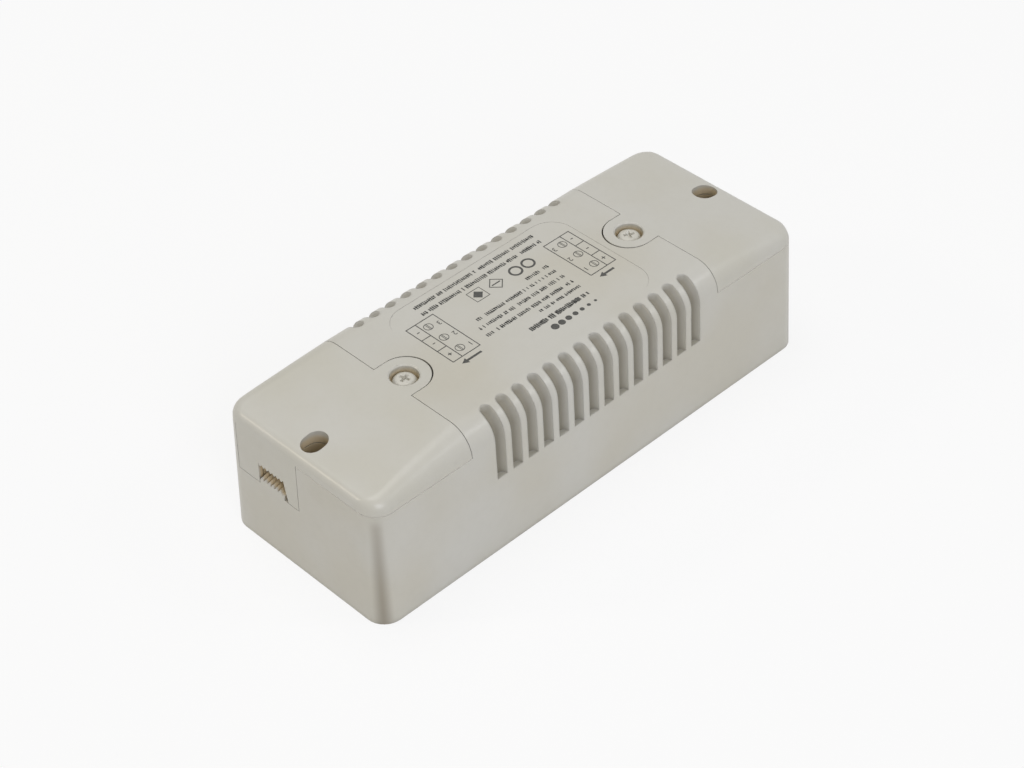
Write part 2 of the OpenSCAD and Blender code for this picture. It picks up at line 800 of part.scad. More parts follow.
// Choke: a wire coil on a bobbin-shaped core
choke_at = [capacitor_x - 11, -11.5];
flange_t = 1.4;
choke_post_d = 4.8;
winding_d = 10.3;

module choke_core() {
    color([0.2, 0.2, 0.21]) translate([choke_at.x, choke_at.y, board_top]) {
        cylinder(d = choke_d, h = flange_t);
        cylinder(d = choke_post_d, h = choke_h);
        translate([0, 0, choke_h - flange_t]) cylinder(d = choke_d, h = flange_t);
    }
}

module choke_winding() {
    color([0.72, 0.38, 0.16]) translate([choke_at.x, choke_at.y, board_top + flange_t]) difference() {
        cylinder(d = min(winding_d, choke_d), h = choke_h - 2 * flange_t);
        translate([0, 0, -past]) cylinder(d = choke_post_d, h = choke_h + past);
    }
}

// A flat chip with bent legs along its two long sides
chip_pitch = 1.27;
chip_h = 1.5;
chip_lift = 0.15;
chip_leg_w = 0.4;
chip_leg_t = 0.2;
chip_leg_z = 0.8;
chip_knee = 0.6;

module chip(l, w, legs) {
    block([-l / 2, -w / 2, chip_lift], [l / 2, w / 2, chip_h]);
    for (i = [0 : legs - 1], s = [0, 1]) mirror([0, s, 0]) {
        x = (i - (legs - 1) / 2) * chip_pitch;
        along_x(x - chip_leg_w / 2, x + chip_leg_w / 2) translate([w / 2, 0]) polygon([
            [-chip_leg_t, chip_leg_z - chip_leg_t], [chip_knee - chip_leg_t, chip_leg_z - chip_leg_t],
            [chip_knee - chip_leg_t, 0], [1, 0], [1, chip_leg_t], [chip_knee, chip_leg_t],
            [chip_knee, chip_leg_z], [-chip_leg_t, chip_leg_z]]);
    }
}

module regulator_chip() {
    color(black) translate([capacitor_x - 8.2, 0, board_top]) rotate([0, 0, 90]) chip(4.9, 3.9, 4);
}

module controller_chip() {
    color(black) translate([radio_at.x, 2, board_top]) chip(9.9, 3.9, 7);
}

module timing_crystal() {
    color(metal) translate([radio_at.x - 3, -6, board_top]) stadium(10.2, 4.4, 0, 3.6);
}

// Small radio board that lies on the main board, with its chip and a bent wire for an aerial
radio_at = [transistor_at.x + 13.4, 12.4];
radio_board_size = [17, 11, 0.8];
radio_chip_size = [4, 4, 0.9];
antenna_d = 0.8;
antenna_h = 12;
antenna_inset = 1.6;

module radio_board() {
    color([0.08, 0.2, 0.42]) translate([radio_at.x, radio_at.y, board_top])
        translate([-radio_board_size.x / 2, -radio_board_size.y / 2, 0]) cube(radio_board_size);
}

module radio_chip() {
    color(black) translate([radio_at.x, radio_at.y - radio_chip_size.y / 2, board_top + radio_board_size.z])
        cube(radio_chip_size);
}

module antenna_wire() {
    x = radio_at.x - radio_board_size.x / 2 + antenna_inset;
    color([0.8, 0.55, 0.3]) translate([x, radio_at.y, board_top + radio_board_size.z]) {
        cylinder(d = antenna_d, h = antenna_h);
        translate([0, 0, antenna_h]) sphere(d = antenna_d);
        translate([0, 0, antenna_h]) rotate([0, 90, 0]) cylinder(d = antenna_d, h = antenna_h);
    }
}

guard_x = bay_x - 8.1;
fuse_size = [4.2, 8.6, 8];

module input_fuse() {
    color([0.5, 0.34, 0.2]) translate([guard_x - fuse_size.x / 2, 9 - fuse_size.y / 2, board_top])
        cube(fuse_size);
}

diode_d = 5.4;
diode_l = 9;
diode_leg_d = 1.2;
diode_leg_y = 6;

module protection_diode() {
    color(black) translate([guard_x, -10, board_top + diode_d / 2]) {
        rotate([90, 0, 0]) cylinder(d = diode_d, h = diode_l, center = true);
        for (s = [-1, 1]) translate([0, s * diode_leg_y, 0]) {
            translate([0, 0, -diode_d / 2]) cylinder(d = diode_leg_d, h = diode_d / 2);
            sphere(d = diode_leg_d);
            rotate([s * 90, 0, 0]) cylinder(d = diode_leg_d, h = 2);
        }
    }
}

// Small parts on the board, in rows
resistor_size = [1.25, 2, 0.5];
chip_capacitor_size = [1.4, 2, 0.9];

module chip_row(at, n, pitch, size) {
    for (i = [0 : n - 1]) translate([at.x + i * pitch, at.y - size.y / 2, board_top]) cube(size);
}

module chip_resistors() {
    color(black) {
        for (y = [-3, 3]) chip_row([1.6 - bay_x, y], 4, 1.9, resistor_size);
        chip_row([radio_at.x - 8, -17.5], 5, 2.2, resistor_size);
    }
}

module chip_capacitors() {
    color([0.62, 0.5, 0.36]) {
        chip_row([capacitor_x - 5, 15], 3, 2.4, chip_capacitor_size);
        chip_row([radio_at.x - 8, -13], 4, 2.4, chip_capacitor_size);
    }
}

housing();
base_plate();
output_cover();
input_cover();
cover_screws();
rating_label();
circuit_board();
board_screws();
output_terminal_block();
output_terminal_cages();
output_terminal_screws();
input_terminal_block();
input_terminal_cages();
input_terminal_screws();
power_transistors();
transistor_tabs();
smoothing_capacitors();
choke_core();
choke_winding();
regulator_chip();
controller_chip();
timing_crystal();
radio_board();
radio_chip();
antenna_wire();
input_fuse();
protection_diode();
chip_resistors();
chip_capacitors();
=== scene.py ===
"""Looks of a receiver that dims LED strips: an ivory box with screwed covers and a printed top.

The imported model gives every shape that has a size. This script dresses it. The moulded shells get
smooth normals and a moulded finish, the screws get a drive and a thread, the choke gets its wire,
the label gets its print, and every part of the circuit gets a finish of its own.
Lengths are metres. X runs along the box, Y across it and Z up, with the underside on Z = 0.
"""

import logging
import math
from contextlib import contextmanager
from dataclasses import dataclass, field
from enum import Enum
from typing import Any, Callable, Iterator, Sequence

import bmesh
import bpy
from mathutils import Matrix, Vector


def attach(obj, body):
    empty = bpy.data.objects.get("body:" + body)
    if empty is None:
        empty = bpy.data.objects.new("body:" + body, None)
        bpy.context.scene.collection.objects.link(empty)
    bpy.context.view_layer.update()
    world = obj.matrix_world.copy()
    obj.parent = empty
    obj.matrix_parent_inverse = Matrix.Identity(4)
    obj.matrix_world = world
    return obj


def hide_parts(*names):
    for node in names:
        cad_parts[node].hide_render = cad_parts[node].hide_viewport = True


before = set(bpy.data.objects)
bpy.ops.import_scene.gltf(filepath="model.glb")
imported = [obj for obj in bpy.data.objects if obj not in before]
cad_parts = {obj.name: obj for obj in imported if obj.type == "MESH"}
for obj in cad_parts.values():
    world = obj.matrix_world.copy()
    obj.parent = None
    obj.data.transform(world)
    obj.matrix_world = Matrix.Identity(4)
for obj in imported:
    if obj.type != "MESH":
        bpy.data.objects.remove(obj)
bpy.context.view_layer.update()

MM = 0.001
ROOT = "root"
# How strong the finer layers of a noise are
CLOUDY, GRAINY = 0.6, 0.7
Colour = tuple[float, float, float, float]
Triple = tuple[float, float, float]
Point = tuple[float, float]
# Where a ramp starts and where it is full
Span = tuple[float, float]

logging.basicConfig(level=logging.INFO, format="%(message)s")
log = logging.getLogger("dimmer_receiver")


class Slot(Enum):
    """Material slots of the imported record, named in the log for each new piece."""

    IVORY = "ivory_plastic"
    PRINT = "label_print"
    STEEL = "screw_steel"
    COPPER = "copper_wire"


class Draw(Enum):
    """What a random draw settles on the small print. The value is added to the seed."""

    SPACES = 0
    STRETCH = 20
    PLAIN = 40
    LIFT = 60


def srgb(red: float, green: float, blue: float) -> Colour:
    """Turns a colour as a screen shows it into the linear one that nodes take.

    Args:
        red: Red from 0 to 255.
        green: Green from 0 to 255.
        blue: Blue from 0 to 255.

    Returns:
        Linear red, green and blue, and an alpha of 1.
    """
    def linear(value: float) -> float:
        """Undoes the screen's curve for one channel, with the numbers of its standard."""
        share = value / 255
        return share / 12.92 if share <= 0.04045 else ((share + 0.055) / 1.055) ** 2.4

    return linear(red), linear(green), linear(blue), 1.0


# Node trees


class Value:
    """What comes out of a node's socket. Operators on it add Math nodes."""

    def __init__(self, tree: "Tree", socket: bpy.types.NodeSocket) -> None:
        """Keeps the socket and the tree that it belongs to."""
        self.tree = tree
        self.socket = socket

    def _math(self, operation: str, *values: "Value | float") -> "Value":
        """Adds one Math node on these values."""
        return self.tree.node("ShaderNodeMath", {"operation": operation}, dict(enumerate(values)))

    def __add__(self, other: "Value | float") -> "Value":
        """Sum."""
        return self._math("ADD", self, other)

    def __radd__(self, other: float) -> "Value":
        """Sum with a number before it."""
        return self._math("ADD", other, self)

    def __sub__(self, other: "Value | float") -> "Value":
        """Difference."""
        return self._math("SUBTRACT", self, other)

    def __rsub__(self, other: float) -> "Value":
        """Difference from a number."""
        return self._math("SUBTRACT", other, self)

    def __mul__(self, other: "Value | float") -> "Value":
        """Product."""
        return self._math("MULTIPLY", self, other)

    def __truediv__(self, other: "Value | float") -> "Value":
        """Quotient."""
        return self._math("DIVIDE", self, other)

    def __pow__(self, power: float) -> "Value":
        """Power."""
        return self._math("POWER", self, power)

    def __gt__(self, other: "Value | float") -> "Value":
        """One where this is larger, otherwise nothing."""
        return self._math("GREATER_THAN", self, other)

    def __abs__(self) -> "Value":
        """Size without the sign."""
        return self._math("ABSOLUTE", self)

    def least(self, other: "Value | float") -> "Value":
        """The smaller of two."""
        return self._math("MINIMUM", self, other)

    def most(self, other: "Value | float") -> "Value":
        """The larger of two."""
        return self._math("MAXIMUM", self, other)

    def fold(self, length: float) -> "Value":
        """Goes up and down between nothing and length, as a pattern that repeats."""
        return self._math("PINGPONG", self, length)

    def swing(self, width: float) -> "Value":
        """Turns a share into a value round nothing that is at most this wide."""
        return (self - 0.5) * width

    def ramp(self, low: float, high: float, smooth: bool = True) -> "Value":
        """Rises from nothing at low to one at high, and stays inside that.

        Args:
            low: Where the rise starts.
            high: Where it ends, which may be below low.
            smooth: Whether the rise has soft ends.

        Returns:
            The share of the way, from nothing to one.
        """
        kind = "SMOOTHSTEP" if smooth else "LINEAR"
        return self.tree.node("ShaderNodeMapRange", {"interpolation_type": kind},
                              {"Value": self, "From Min": low, "From Max": high})


Axes = tuple[Value, Value, Value]


def away(across: Value, along: Value) -> Value:
    """How far a place is away, from its distances along two axes."""
    return (across ** 2 + along ** 2) ** 0.5


class Tree:
    """A node tree that one method fills."""

    def __init__(self, nodes: bpy.types.NodeTree) -> None:
        """Keeps the tree."""
        self.nodes = nodes

    def node(self, kind: str, settings: dict[str, Any] | None = None,
             inputs: dict[int | str, Any] | None = None, output: int | str = 0) -> Value:
        """Adds one node.

        Args:
            kind: The node's type.
            settings: Its properties, set first.
            inputs: A value or a link for each socket, by name or by number.
            output: Name or number of the output that is wanted.

        Returns:
            That output.
        """
        node = self.nodes.nodes.new(kind)
        for key, value in (settings or {}).items():
            setattr(node, key, value)
        for key, value in (inputs or {}).items():
            if isinstance(value, Value):
                self.nodes.links.new(value.socket, node.inputs[key])
            else:
                node.inputs[key].default_value = value
        return Value(self, node.outputs[output] if len(node.outputs) else None)

    def vector(self, operation: str, first: Any, second: Any, output: str = "Vector") -> Value:
        """Adds one Vector Math node."""
        return self.node("ShaderNodeVectorMath", {"operation": operation}, {0: first, 1: second},
                         output)


class Graph(Tree):
    """The nodes of one material."""

    bevel_samples: int = 4
    wear_gain: float = 6

    def __init__(self, name: str) -> None:
        """Makes an empty material.

        Args:
            name: Its name.
        """
        self.material = bpy.data.materials.new(name)
        self.material.use_nodes = True
        super().__init__(self.material.node_tree)
        self.nodes.nodes.clear()
        self.place = self.node("ShaderNodeTexCoord", output="Object")

    def noise(self, scale: float, detail: float = 2.0, rough: float = 0.5,
              stretch: Triple = (1, 1, 1)) -> Value:
        """Adds a cloud of values from nothing to one.

        Args:
            scale: Spots to the metre.
            detail: Layers of finer spots.
            rough: How strong the finer layers are.
            stretch: Scale along each axis, for a brushed or drawn surface.

        Returns:
            The value.
        """
        place = self.place if stretch == (1, 1, 1) else self.vector("MULTIPLY", self.place, stretch)
        return self.node("ShaderNodeTexNoise", {},
                         {"Vector": place, "Scale": scale, "Detail": detail, "Roughness": rough})

    def axes(self) -> Axes:
        """The place along X, Y and Z."""
        split = self.node("ShaderNodeSeparateXYZ", {}, {0: self.place})
        return tuple(Value(self, socket) for socket in split.socket.node.outputs)

    def true_normal(self) -> Value:
        """The surface's own direction, without any rounding."""
        return self.node("ShaderNodeNewGeometry", output="Normal")

    def mix(self, share: Value | float, low: Any, high: Any) -> Value:
        """Goes from one colour to another.

        Args:
            share: How much of the second colour, from nothing to one.
            low: The first colour.
            high: The second colour.

        Returns:
            The colour.
        """
        # The node numbers its sockets: inputs 6 and 7 are the two colours, output 2 is the result
        return self.node("ShaderNodeMix", {"data_type": "RGBA"}, {0: share, 6: low, 7: high}, 2)

    def turn(self, share: Value, low: Value, high: Value) -> Value:
        """Goes from one normal to another, as mix does for colours."""
        # Inputs 4 and 5 are the two vectors, output 1 is the result
        return self.node("ShaderNodeMix", {"data_type": "VECTOR"}, {0: share, 4: low, 5: high}, 1)

    def bump(self, height: Value, depth: float, normal: Value | None = None) -> Value:
        """Raises and lowers the surface.

        Args:
            height: Height as a share of depth.
            depth: Depth in metres.
            normal: The normal that it works on.

        Returns:
            The new normal.
        """
        given = {"Height": height, "Distance": depth}
        if normal is not None:
            given["Normal"] = normal
        return self.node("ShaderNodeBump", {}, given)

    def rounded(self, radius: float) -> Value:
        """The surface's direction with sharp edges rounded to this radius."""
        return self.node("ShaderNodeBevel", {"samples": self.bevel_samples}, {"Radius": radius})

    def wear(self, rounded: Value) -> Value:
        """How far a rounded normal turned, from nothing to one on a worn edge."""
        aligned = self.vector("DOT_PRODUCT", rounded, self.true_normal(), "Value")
        return ((1 - aligned) * self.wear_gain).least(1)

    def surface(self, **sockets: Any) -> None:
        """Ends the material in one shader, whose sockets are named with _ for a space."""
        given = {key.replace("_", " "): value for key, value in sockets.items()}
        shader = self.node("ShaderNodeBsdfPrincipled", {}, given)
        self.node("ShaderNodeOutputMaterial", {}, {"Surface": shader})


class Pattern(Tree):
    """A Geometry Nodes tree with named sizes, which ends as a plain mesh."""

    def __init__(self, name: str) -> None:
        """Makes an empty tree.

        Args:
            name: Name of the tree and of the piece that it makes.
        """
        super().__init__(bpy.data.node_groups.new(name, "GeometryNodeTree"))
        self.name = name
        self.sizes: dict[str, Any] = {}
        for way in ("INPUT", "OUTPUT"):
            self.nodes.interface.new_socket("Geometry", in_out=way,
                                            socket_type="NodeSocketGeometry")
        self.source = self.nodes.nodes.new("NodeGroupInput")

    def size(self, name: str, value: Any, kind: str = "Float") -> Value:
        """Adds a named input.

        Args:
            name: Its name.
            value: What it is set to.
            kind: Float, Int, Vector, Object or Material.

        Returns:
            The input, for the nodes.
        """
        item = self.nodes.interface.new_socket(name, in_out="INPUT",
                                               socket_type=f"NodeSocket{kind}")
        self.sizes[item.identifier] = value
        return Value(self, self.source.outputs[name])

    def base(self) -> Value:
        """The mesh that the tree is put on."""
        return Value(self, self.source.outputs["Geometry"])

    def random(self, kind: str, seed: Value, **inputs: Any) -> Value:
        """Adds a random value for each point.

        Args:
            kind: FLOAT_VECTOR or BOOLEAN.
            seed: Its seed.
            inputs: Its other inputs, by name.

        Returns:
            The value.
        """
        output = 3 if kind == "BOOLEAN" else 0
        return self.node("FunctionNodeRandomValue", {"data_type": kind}, {**inputs, "Seed": seed},
                         output)

    def box(self, length: Any, width: Any, height: Any) -> Value:
        """Adds a box with these sides."""
        size = self.node("ShaderNodeCombineXYZ", {}, {0: length, 1: width, 2: height})
        return self.node("GeometryNodeMeshCube", {}, {"Size": size}, "Mesh")

    def moved(self, shape: Value, by: Value) -> Value:
        """Moves a shape."""
        return self.node("GeometryNodeTransform", {}, {"Geometry": shape, "Translation": by})

    def raised(self, shape: Value, height: Value) -> Value:
        """Moves a shape up."""
        return self.moved(shape, self.node("ShaderNodeCombineXYZ", {}, {2: height}))

    def instances(self, points: Value, shape: Value, turn: Any = (0, 0, 0),
                  scale: Any = (1, 1, 1)) -> Value:
        """Puts a shape on each point.

        Args:
            points: The points.
            shape: The shape.
            turn: Its rotation.
            scale: Its scale.

        Returns:
            The instances.
        """
        return self.node("GeometryNodeInstanceOnPoints", {},
                         {"Points": points, "Instance": shape, "Rotation": turn, "Scale": scale})

    def join(self, *parts: Value) -> Value:
        """Puts several shapes together."""
        joined = self.node("GeometryNodeJoinGeometry")
        for part in parts:
            self.nodes.links.new(part.socket, joined.socket.node.inputs[0])
        return joined

    def piece(self, shape: Value, finish: bpy.types.Material,
              base: bpy.types.Mesh) -> bpy.types.Object:
        """Ends the tree, runs it and keeps the result as a plain mesh.

        Args:
            shape: What the tree makes.
            finish: The material of all of it.
            base: The mesh that the tree is put on.

        Returns:
            The finished piece, without a modifier.
        """
        real = self.node("GeometryNodeRealizeInstances", {}, {0: shape})
        dressed = self.node("GeometryNodeSetMaterial", {},
                            {"Geometry": real, "Material": self.size("Finish", finish, "Material")})
        self.node("NodeGroupOutput", {}, {0: dressed})
        carrier = bpy.data.objects.new(f"{self.name}_carrier", base)
        bpy.context.scene.collection.objects.link(carrier)
        modifier = carrier.modifiers.new(self.name, "NODES")
        modifier.node_group = self.nodes
        for identifier, value in self.sizes.items():
            modifier[identifier] = value
        made = evaluated(carrier, self.name)
        with editing(made.data) as work:
            bmesh.ops.recalc_face_normals(work, faces=work.faces)
        return made


# Meshes


@contextmanager
def editing(mesh: bpy.types.Mesh) -> Iterator[bmesh.types.BMesh]:
    """Opens a mesh for changes, and writes it back.

    Args:
        mesh: The mesh.

    Returns:
        What the changes are made on.
    """
    work = bmesh.new()
    work.from_mesh(mesh)
    yield work
    work.to_mesh(mesh)
    work.free()


def shade(work: bmesh.types.BMesh, crease: float) -> None:
    """Makes all faces smooth, and keeps the sharp edges sharp.

    Args:
        work: The mesh.
        crease: Angle in degrees from which an edge is sharp.
    """
    for face in work.faces:
        face.smooth = True
    for edge in work.edges:
        edge.smooth = edge.calc_face_angle(math.pi) < math.radians(crease)


def evaluated(carrier: bpy.types.Object, name: str) -> bpy.types.Object:
    """Keeps what an object's modifiers make as a plain piece, and removes the object.

    Args:
        carrier: The object with its modifiers.
        name: Name of the new piece.

    Returns:
        The piece, at the origin.
    """
    bpy.context.view_layer.update()
    graph = bpy.context.evaluated_depsgraph_get()
    mesh = bpy.data.meshes.new_from_object(carrier.evaluated_get(graph), depsgraph=graph)
    mesh.name = name
    bpy.data.objects.remove(carrier)
    return linked(name, mesh)


def linked(name: str, mesh: bpy.types.Mesh) -> bpy.types.Object:
    """Puts a mesh in the scene.

    Args:
        name: Name of its object.
        mesh: The mesh.

    Returns:
        The object, at the origin.
    """
    piece = bpy.data.objects.new(name, mesh)
    bpy.context.scene.collection.objects.link(piece)
    return piece


def mesh_of(name: str, build: Callable[[bmesh.types.BMesh], None]) -> bpy.types.Mesh:
    """Makes a mesh with outward faces.

    Args:
        name: Its name.
        build: What fills it.

    Returns:
        The mesh.
    """
    mesh = bpy.data.meshes.new(name)
    with editing(mesh) as work:
        build(work)
        bmesh.ops.recalc_face_normals(work, faces=work.faces)
    return mesh


def skin(work: bmesh.types.BMesh, rings: Sequence[Sequence[Vector]],
         loop: bool = False) -> None:
    """Joins rings of equal length into one closed skin.

    Args:
        work: The mesh that gets it.
        rings: The rings, from one end to the other.
        loop: Whether the last ring joins the first, in place of two caps.
    """
    rows = [[work.verts.new(point) for point in ring] for ring in rings]
    pairs = list(zip(rows, rows[1:])) + ([(rows[-1], rows[0])] if loop else [])
    for low, high in pairs:
        for k in range(len(low)):
            n = (k + 1) % len(low)
            work.faces.new((low[k], low[n], high[n], high[k]))
    if not loop:
        work.faces.new(rows[0][::-1])
        work.faces.new(rows[-1])


def finish_piece(piece: bpy.types.Object, slot: Slot, replaced: Sequence[str] = ()) -> None:
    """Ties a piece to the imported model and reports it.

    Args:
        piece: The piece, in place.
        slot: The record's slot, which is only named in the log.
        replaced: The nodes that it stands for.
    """
    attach(piece, ROOT)
    if replaced:
        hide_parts(*replaced)
    log.info("%s: %d faces, %s", piece.name, len(piece.data.polygons), slot.value)


# Finishes


@dataclass(frozen=True)
class Finish:
    """A finish that a material is made from."""

    name: str

    def material(self) -> bpy.types.Material:
        """Makes the material."""
        graph = Graph(self.name)
        self.paint(graph)
        return graph.material

    def paint(self, graph: Graph) -> None:
        """Fills the material's nodes."""
        raise NotImplementedError


@dataclass(frozen=True)
class Zone:
    """A box with soft sides, mirrored over X and Y. A span says where it starts and is full."""

    x: Span
    y: Span
    z: Span | None = None

    def share(self, axes: Axes) -> Value:
        """How far inside a place lies, from nothing to one."""
        inside = abs(axes[0]).ramp(*self.x) * abs(axes[1]).ramp(*self.y)
        return inside if self.z is None else inside * axes[2].ramp(*self.z)


@dataclass(frozen=True)
class Hole:
    """A round or slotted hole at both ends, whose walls get a painted warm light.

    The straight part of a slot reaches half_slot to each side of at_x. The painted warm light starts
    within rim of the wall, and below the top it takes the length fade to come in.
    """

    at_x: float
    half_slot: float
    radius: float
    top: float
    rim: float = 0.02 * MM
    fade: float = 1.5 * MM

    def share(self, axes: Axes) -> Value:
        """Finds the hole's walls.

        Args:
            axes: The place along X, Y and Z.

        Returns:
            One deep in the hole and nothing outside it.
        """
        x, y, z = axes
        reach = away((abs(abs(x) - self.at_x) - self.half_slot).most(0), y)
        across = reach.ramp(self.radius + self.rim, self.radius, False)
        return across * z.ramp(self.top, self.top - self.fade)


@dataclass(frozen=True)
class ClampJaws:
    """The jaws of the cable clamps, inside the end walls and beside the middle of each end, which
    get a painted warm light.

    The spans are distances from the middle, and flip is where Y changes its side.
    """

    middle: Triple = (60 * MM, 9.3 * MM, 20.3 * MM)
    x: Span = (4.45 * MM, 3.6 * MM)
    y: Span = (5.1 * MM, 4.6 * MM)
    z: Span = (3.2 * MM, 2.8 * MM)
    flip: float = 1 * MM

    def share(self, axes: Axes) -> Value:
        """Finds the jaws, which lie on opposite sides of Y at the two ends.

        Args:
            axes: The place along X, Y and Z.

        Returns:
            One on the jaws and nothing elsewhere.
        """
        x, y, z = axes
        across = y * x.ramp(self.flip, -self.flip, False) - y * x.ramp(-self.flip, self.flip, False)
        return (abs(across - self.middle[1]).ramp(*self.y) * abs(z - self.middle[2]).ramp(*self.z)
                * abs(abs(x) - self.middle[0]).ramp(*self.x))


@dataclass(frozen=True)
class Grooves:
    """The vent grooves, with painted shade and a duller surface at their bottoms, and soft ribs
    between them.

    The long edges are rounded about axis, given along Y and Z, and slope is how the side wall below
    leans. Depth under that surface tells the bottoms of the grooves from their rims.
    """

    # Painted shade at the groove bottoms, darker where a groove is deep
    colour: Colour = srgb(138, 133, 119)
    dull: float = 0.3
    x: Span = (32.6 * MM, 32.5 * MM)
    axis: Point = (17.67 * MM, 29.8 * MM)
    radius: float = 6.2 * MM
    slope: float = 0.028
    rise: Span = (0.35 * MM, 1.4 * MM)
    bottom: Span = (1.8 * MM, 1.7 * MM)
    foot: Span = (19.9 * MM, 19.8 * MM)
    ribs_y: Span = (17.9 * MM, 18 * MM)
    rib_edge: float = 0.6 * MM

    def bottoms(self, axes: Axes, level: Value) -> Value:
        """Finds the bottoms of the grooves, from their depth below the long edges' rounding.

        Args:
            axes: The place along X, Y and Z.
            level: One where the surface lies level.

        Returns:
            One at the bottom of a groove and nothing at its rims and foot.
        """
        x, y, z = axes
        reach = away(abs(y) - self.axis[0], (z - self.axis[1]).most(0))
        deep = self.radius - reach + (self.axis[1] - z).most(0) * self.slope
        inside = deep.ramp(*self.rise, False) * deep.ramp(*self.bottom) * abs(x).ramp(*self.x)
        return inside * (1 - level * z.ramp(*self.foot))

    def ribs(self, axes: Axes) -> Value:
        """One on the ribs and nothing elsewhere."""
        return Zone(self.x, self.ribs_y).share(axes)


FIXING_SLOT = Hole(59 * MM, 0.5 * MM, 2.7 * MM, 33.3 * MM)
SCREW_WELL = Hole(33.95 * MM, 0.0, 3.3 * MM, 35.7 * MM)
# Height at which a cover screw's head sits in its well
SCREW_SEAT = 33.4 * MM


@dataclass(frozen=True)
class Moulded(Finish):
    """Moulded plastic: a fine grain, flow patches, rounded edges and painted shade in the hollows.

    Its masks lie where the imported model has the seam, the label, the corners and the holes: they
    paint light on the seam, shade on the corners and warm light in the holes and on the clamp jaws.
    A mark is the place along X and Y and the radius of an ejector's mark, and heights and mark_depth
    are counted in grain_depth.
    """

    colour: Colour = srgb(201, 199, 190)
    warm: Colour = srgb(196, 192, 178)
    mottled: Colour = srgb(176, 172, 158)
    worn: Colour = srgb(214, 211, 202)
    # Painted shade in creases, seams and hollows, darker where less of the sky reaches
    crevice_shade: Colour = srgb(122, 117, 102)
    # Painted warm light on the walls of the holes
    hole_warm_light: Colour = srgb(202, 187, 157)
    # Painted warm light on the clamp jaws
    jaw_warm_light: Colour = srgb(206, 188, 152)
    # Painted light on the seam, which makes its gap pale
    seam_light: Colour = srgb(238, 234, 224)
    # Painted shade for the dark band on the vertical corners
    corner_shade: Colour = srgb(140, 131, 114)
    patch_scale: float = 34
    patch_span: Span = (0.3, 0.7)
    mottle_scale: float = 460
    mottle_span: Span = (0.35, 0.9)
    mottle_share: float = 0.1
    mottle_height: float = 0.5
    grain_scale: float = 5200
    grain_height: float = 0.7
    grain_depth: float = 0.0022 * MM
    roughness: float = 0.31
    spread: float = 0.1
    edge: float = 0.2 * MM
    edge_share: float = 0.35
    edge_polish: float = 0.01
    # Reach, samples, span and share of the painted shade in creases and hollows
    crevice_shade_reach: float = 2.4 * MM
    crevice_shade_samples: int = 8
    crevice_shade_span: Span = (0.8, 0.2)
    crevice_shade_share: float = 0.5
    level_from: float = 0.7
    # Where the painted light on the seam lies
    seam_z: float = 29.64 * MM
    seam_span: Span = (0.1 * MM, 0.07 * MM)
    seam_x: Span = (37 * MM, 37.3 * MM)
    # Painted shade on the vertical corners, fading out towards the top
    corner: Zone = Zone((61.2 * MM, 63.7 * MM), (20.9 * MM, 23.4 * MM), (30 * MM, 26 * MM))
    corner_shade_share: float = 0.8
    label: Zone = Zone((27 * MM, 26.9 * MM), (17.6 * MM, 17.5 * MM))
    jaws: ClampJaws = ClampJaws()
    holes: tuple[Hole, ...] = (FIXING_SLOT, SCREW_WELL)
    grooves: Grooves | None = None
    marks: tuple[Triple, ...] = ()
    mark_depth: float = 25
    mark_rim: float = 0.12 * MM
    ior: float = 1.5

    def in_holes(self, axes: Axes) -> Value | float:
        """Finds the walls of all holes.

        Args:
            axes: The place along X, Y and Z.

        Returns:
            One deep in a hole and nothing elsewhere.
        """
        inside: Value | float = 0.0
        for hole in self.holes:
            inside = hole.share(axes).most(inside)
        return inside

    def pressed(self, axes: Axes) -> Value | float:
        """Finds the round marks of the mould's ejectors, mirrored over X and Y.

        Args:
            axes: The place along X, Y and Z.

        Returns:
            One on a mark and nothing elsewhere.
        """
        depth: Value | float = 0.0
        for at_x, at_y, radius in self.marks:
            reach = away(abs(axes[0]) - at_x, abs(axes[1]) - at_y)
            depth = reach.ramp(radius, radius - self.mark_rim) + depth
        return depth

    def paint(self, graph: Graph) -> None:
        """Fills the material's nodes.

        Args:
            graph: The nodes.
        """
        x, _, z = axes = graph.axes()
        mottle = graph.noise(self.mottle_scale, 3, CLOUDY)
        grain = graph.noise(self.grain_scale, 2, CLOUDY)
        normal = graph.rounded(self.edge)
        edge = graph.wear(normal)
        open_sky = graph.node("ShaderNodeAmbientOcclusion", {"samples": self.crevice_shade_samples},
                              {"Distance": self.crevice_shade_reach}, "AO")
        flat = graph.true_normal()
        level = abs(graph.vector("DOT_PRODUCT", flat, (0, 0, 1), "Value")) > self.level_from
        seam = abs(z - self.seam_z).ramp(*self.seam_span) * abs(x).ramp(*self.seam_x) * level
        tints: list[tuple[Value | float, Colour]] = [
            (graph.noise(self.patch_scale).ramp(*self.patch_span), self.warm),
            (mottle.ramp(*self.mottle_span) * self.mottle_share, self.mottled),
            (edge * self.edge_share, self.worn),
            # Painted shade where the ambient occlusion is low
            (open_sky.ramp(*self.crevice_shade_span, False) * self.crevice_shade_share, self.crevice_shade),
            # Painted warm light on the walls of the holes
            (self.in_holes(axes), self.hole_warm_light),
            # Painted warm light on the clamp jaws
            (self.jaws.share(axes), self.jaw_warm_light),
            # Painted light on the seam
            (seam, self.seam_light),
            # Painted shade on the vertical corners
            (self.corner.share(axes) * self.corner_shade_share, self.corner_shade),
        ]
        roughness = self.roughness + mottle.swing(self.spread) - edge * self.edge_polish
        # The edges of the recess under the label stay as they are
        normal = graph.turn(self.label.share(axes), normal, flat)
        if self.grooves:
